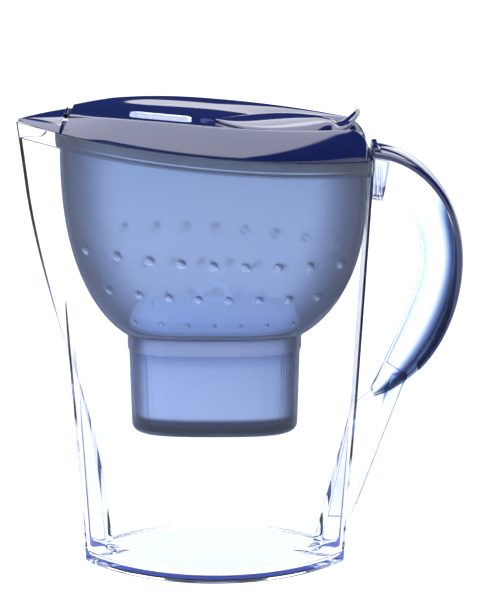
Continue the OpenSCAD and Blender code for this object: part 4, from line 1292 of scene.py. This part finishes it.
def spoutChain(x, top):
    t = spoutShare(x)
    width = max(0.7, (rimHalf(lid["split"]) - 0.4) * (1 - t ** 1.25))
    less = 0 if top else spout["wall"]
    height = blend(10.2, 1.8, t ** 1.1) - less
    chain = []
    for v in np.sin(np.linspace(-math.pi / 2, math.pi / 2, spout["chain"] + 1)):
        z = lid["seat"] + (height - lid["seat"]) * max(0, 1 - abs(v) ** 2.2) ** 0.75
        px = x + spout["rake"] * (z - lid["seat"]) * unit(1 + (x + lid["split"]) / 20)
        chain.append((px, v * max(0.35, width - less), rimHeight + z - px * fall))
    return chain


def buildSpoutFlap():
    start = -lid["split"] - 2 - spout["gap"]
    stations = [blend(-spoutReach, start, t) for t in np.linspace(0, 1, spout["stations"])]
    hood = stripped([(spoutChain(x, False), spoutChain(x, True)) for x in stations])
    piece = meshObject("spoutHood", *hood)
    notches = []
    gap = ears["gap"]
    for side in (-1, 1):
        y0, y1 = earSpan(side, ears["spoutInner"], ears["spoutThick"])
        notches.append(cylinderAlongY(spoutAt, ears["spoutRound"] + ears["notch"], y0 - gap, y1 + gap))
    cut(piece, notches)
    return piece, meshObject("spoutKnuckle", *cylinderAlongY(
        spoutAt, ears["spoutRound"], -ears["spoutInner"] + gap, ears["spoutInner"] - gap))


spoutPiece, spoutKnuckle = buildSpoutFlap()
dress(spoutPiece, navyGloss, "spout_flap", "spout_flap")
dress(spoutKnuckle, navyGloss, "spout_flap")
print("spout flap made")


# the frame's own pieces

finishes = {
    "lid_liner": navySatin, "refill_pin": pinSteel, "spout_pin": navySatin,
    "cartridge_case": whiteSatin, "cartridge_cap": milkyWhite, "cartridge_ring": milkyWhite,
    "cartridge_seal": sealRubber, "upper_sieve": meshWhite, "lower_sieve": meshWhite,
    "filter_granules": granuleLook, "indicator_case": caseNavy, "indicator_bezel": whiteGloss,
    "indicator_lens": clearPlastic, "indicator_display": displayGlass, "indicator_board": boardGreen,
    "indicator_battery": cellSteel, "indicator_button": buttonBlue,
}
for name, finish in finishes.items():
    nodes[name].data.materials.clear()
    nodes[name].data.materials.append(finish)
print("frame pieces finished:", len(finishes))


# floor, light and camera

studio = {
    "sweepRadius": 3500, "sweepBend": 300, "sweepTop": 620, "floorTone": (0.36, 0.36, 0.36, 1),
    "nearGlow": 0.12, "farGlow": 0.34, "glowFrom": 0.3, "glowTo": 2.2,
    "underGlow": 0.55, "underFrom": 0.06, "underTo": 0.16,
    "skyLow": (0.014, 0.025, 0.09, 1), "skyHigh": (0.036, 0.046, 0.1, 1),
    "domeColor": (0.97, 0.98, 1.05, 1), "domeLeft": 4.6, "domeRight": 3.6,
    # the dome's three soft edges: a direction, and where the light starts and is full along it
    "domeEdges": (((0, 0, 1), 0.17, 0.23), ((0, -1, 0), -0.42, -0.34),
                  ((-0.869, 0.084, 0.488), -0.25, -0.21)),
}


def buildSweep():
    # a round floor that curves up into a low wall, so that every view has the same pale ground
    radius, bend, top = studio["sweepRadius"], studio["sweepBend"], studio["sweepTop"]
    inner = [(r, -0.1) for r in (100, 400, 900, 1600, 2400, radius - bend)]
    inner += [(radius - bend + bend * math.sin(a), bend - 0.1 - bend * math.cos(a))
              for a in np.linspace(0, math.pi / 2, 13)[1:]]
    inner += [(radius, top)]
    section = inner + [(radius + 20, top), (radius + 20, -20), (100, -20)]
    return lofted([[(r * math.cos(a), r * math.sin(a), z) for a in turns(96)] for r, z in section])


def makeSweepLook():
    material, tree, shader, _ = newMaterial("sweepLook")
    setAll(shader, {"Roughness": 0.7, "Specular IOR Level": 0.2, "Emission Color": (1, 1, 1, 1)})
    grain = objectNoise(tree, 3, 4)
    tone = studio["floorTone"]
    lighter = tuple(min(1, c * 1.03) for c in tone)
    tree.links.new(mixColors(tree, grain.outputs["Fac"], tone, lighter), shader.inputs["Base Color"])
    place, reach = tree.nodes.new("ShaderNodeTexCoord"), tree.nodes.new("ShaderNodeVectorMath")
    reach.operation = "LENGTH"
    tree.links.new(place.outputs["Object"], reach.inputs[0])
    spread = tree.nodes.new("ShaderNodeMapRange")
    spread.interpolation_type = "SMOOTHSTEP"
    setAll(spread, {"From Min": studio["glowFrom"], "From Max": studio["glowTo"],
                    "To Min": studio["nearGlow"], "To Max": studio["farGlow"]})
    tree.links.new(reach.outputs["Value"], spread.inputs["Value"])
    # painted light: the floor glows a little more under the clear jug, where its shade would fall
    under, both = tree.nodes.new("ShaderNodeMapRange"), tree.nodes.new("ShaderNodeMath")
    under.interpolation_type = "SMOOTHSTEP"
    setAll(under, {"From Min": studio["underFrom"], "From Max": studio["underTo"],
                   "To Min": studio["underGlow"], "To Max": 0})
    tree.links.new(reach.outputs["Value"], under.inputs["Value"])
    tree.links.new(spread.outputs["Result"], both.inputs[0])
    tree.links.new(under.outputs["Result"], both.inputs[1])
    tree.links.new(both.outputs["Value"], shader.inputs["Emission Strength"])
    return material


sweepPiece = meshObject("sweep", *buildSweep())
sweepPiece.data.materials.append(makeSweepLook())


def makeSky():
    # dark above and behind, with a wide soft dome of light on the near side
    world = bpy.data.worlds.new("studioSky")
    world.use_nodes = True
    tree = world.node_tree
    place, split = tree.nodes.new("ShaderNodeTexCoord"), tree.nodes.new("ShaderNodeSeparateXYZ")
    direction = place.outputs["Generated"]
    tree.links.new(direction, split.inputs["Vector"])
    height = ramp(tree, split.outputs["Z"], 0, 1, 0.25, 0.75)
    shade = mixColors(tree, height, studio["skyLow"], studio["skyHigh"])
    strength = ramp(tree, split.outputs["X"], studio["domeLeft"], studio["domeRight"], -1, 1)
    for axis, start, full in studio["domeEdges"]:
        along, times = tree.nodes.new("ShaderNodeVectorMath"), tree.nodes.new("ShaderNodeMath")
        along.operation, times.operation = "DOT_PRODUCT", "MULTIPLY"
        along.inputs[1].default_value = axis
        tree.links.new(direction, along.inputs[0])
        tree.links.new(ramp(tree, along.outputs["Value"], 0, 1, start, full), times.inputs[0])
        tree.links.new(strength, times.inputs[1])
        strength = times.outputs["Value"]
    dome, both = tree.nodes.new("ShaderNodeBackground"), tree.nodes.new("ShaderNodeAddShader")
    dome.inputs["Color"].default_value = studio["domeColor"]
    tree.links.new(strength, dome.inputs["Strength"])
    tree.links.new(shade, tree.nodes["Background"].inputs["Color"])
    tree.links.new(tree.nodes["Background"].outputs["Background"], both.inputs[0])
    tree.links.new(dome.outputs["Background"], both.inputs[1])
    tree.links.new(both.outputs["Shader"], tree.nodes["World Output"].inputs["Surface"])
    return world


bpy.context.scene.world = makeSky()
bpy.context.scene.view_settings.view_transform = "Standard"


def softBox(name, azimuth, elevation, distance, width, height, radiance):
    # azimuth is counted from the camera's side towards the handle
    lamp = bpy.data.lights.new(name, "AREA")
    lamp.shape = "RECTANGLE"
    lamp.size, lamp.size_y = width, height
    lamp.energy = radiance * math.pi * width * height
    holder = bpy.data.objects.new(name, lamp)
    bpy.context.scene.collection.objects.link(holder)
    a, e = math.radians(azimuth), math.radians(elevation)
    away = Vector((math.sin(a) * math.cos(e), -math.cos(a) * math.cos(e), math.sin(e)))
    holder.location = Vector((0, 0, 0.2)) + away * distance
    holder.rotation_euler = (-away).to_track_quat("-Z", "Y").to_euler()
    holder.visible_camera = False


# azimuth and elevation in degrees, distance, width and height in metres, radiance
softBoxes = {"sideBox": (150, 17, 1.7, 1.0, 0.6, 2.2), "backBox": (175, 62, 1.5, 1.8, 0.8, 4.5)}
for name, values in softBoxes.items():
    softBox(name, *values)

view = {"distance": 1300, "height": 500, "aim": (13.9, 0, 150.4), "focal": 2424.7, "picture": 600}
camera = bpy.data.cameras.new("camera")
camera.sensor_width = 36
camera.lens = view["focal"] / view["picture"] * 36
cameraHolder = bpy.data.objects.new("camera", camera)
bpy.context.scene.collection.objects.link(cameraHolder)
aim = Vector(view["aim"]) * mm
cameraHolder.location = (aim.x, -view["distance"] * mm, view["height"] * mm)
cameraHolder.rotation_euler = (aim - cameraHolder.location).to_track_quat("-Z", "Y").to_euler()
bpy.context.scene.camera = cameraHolder
print("studio made")
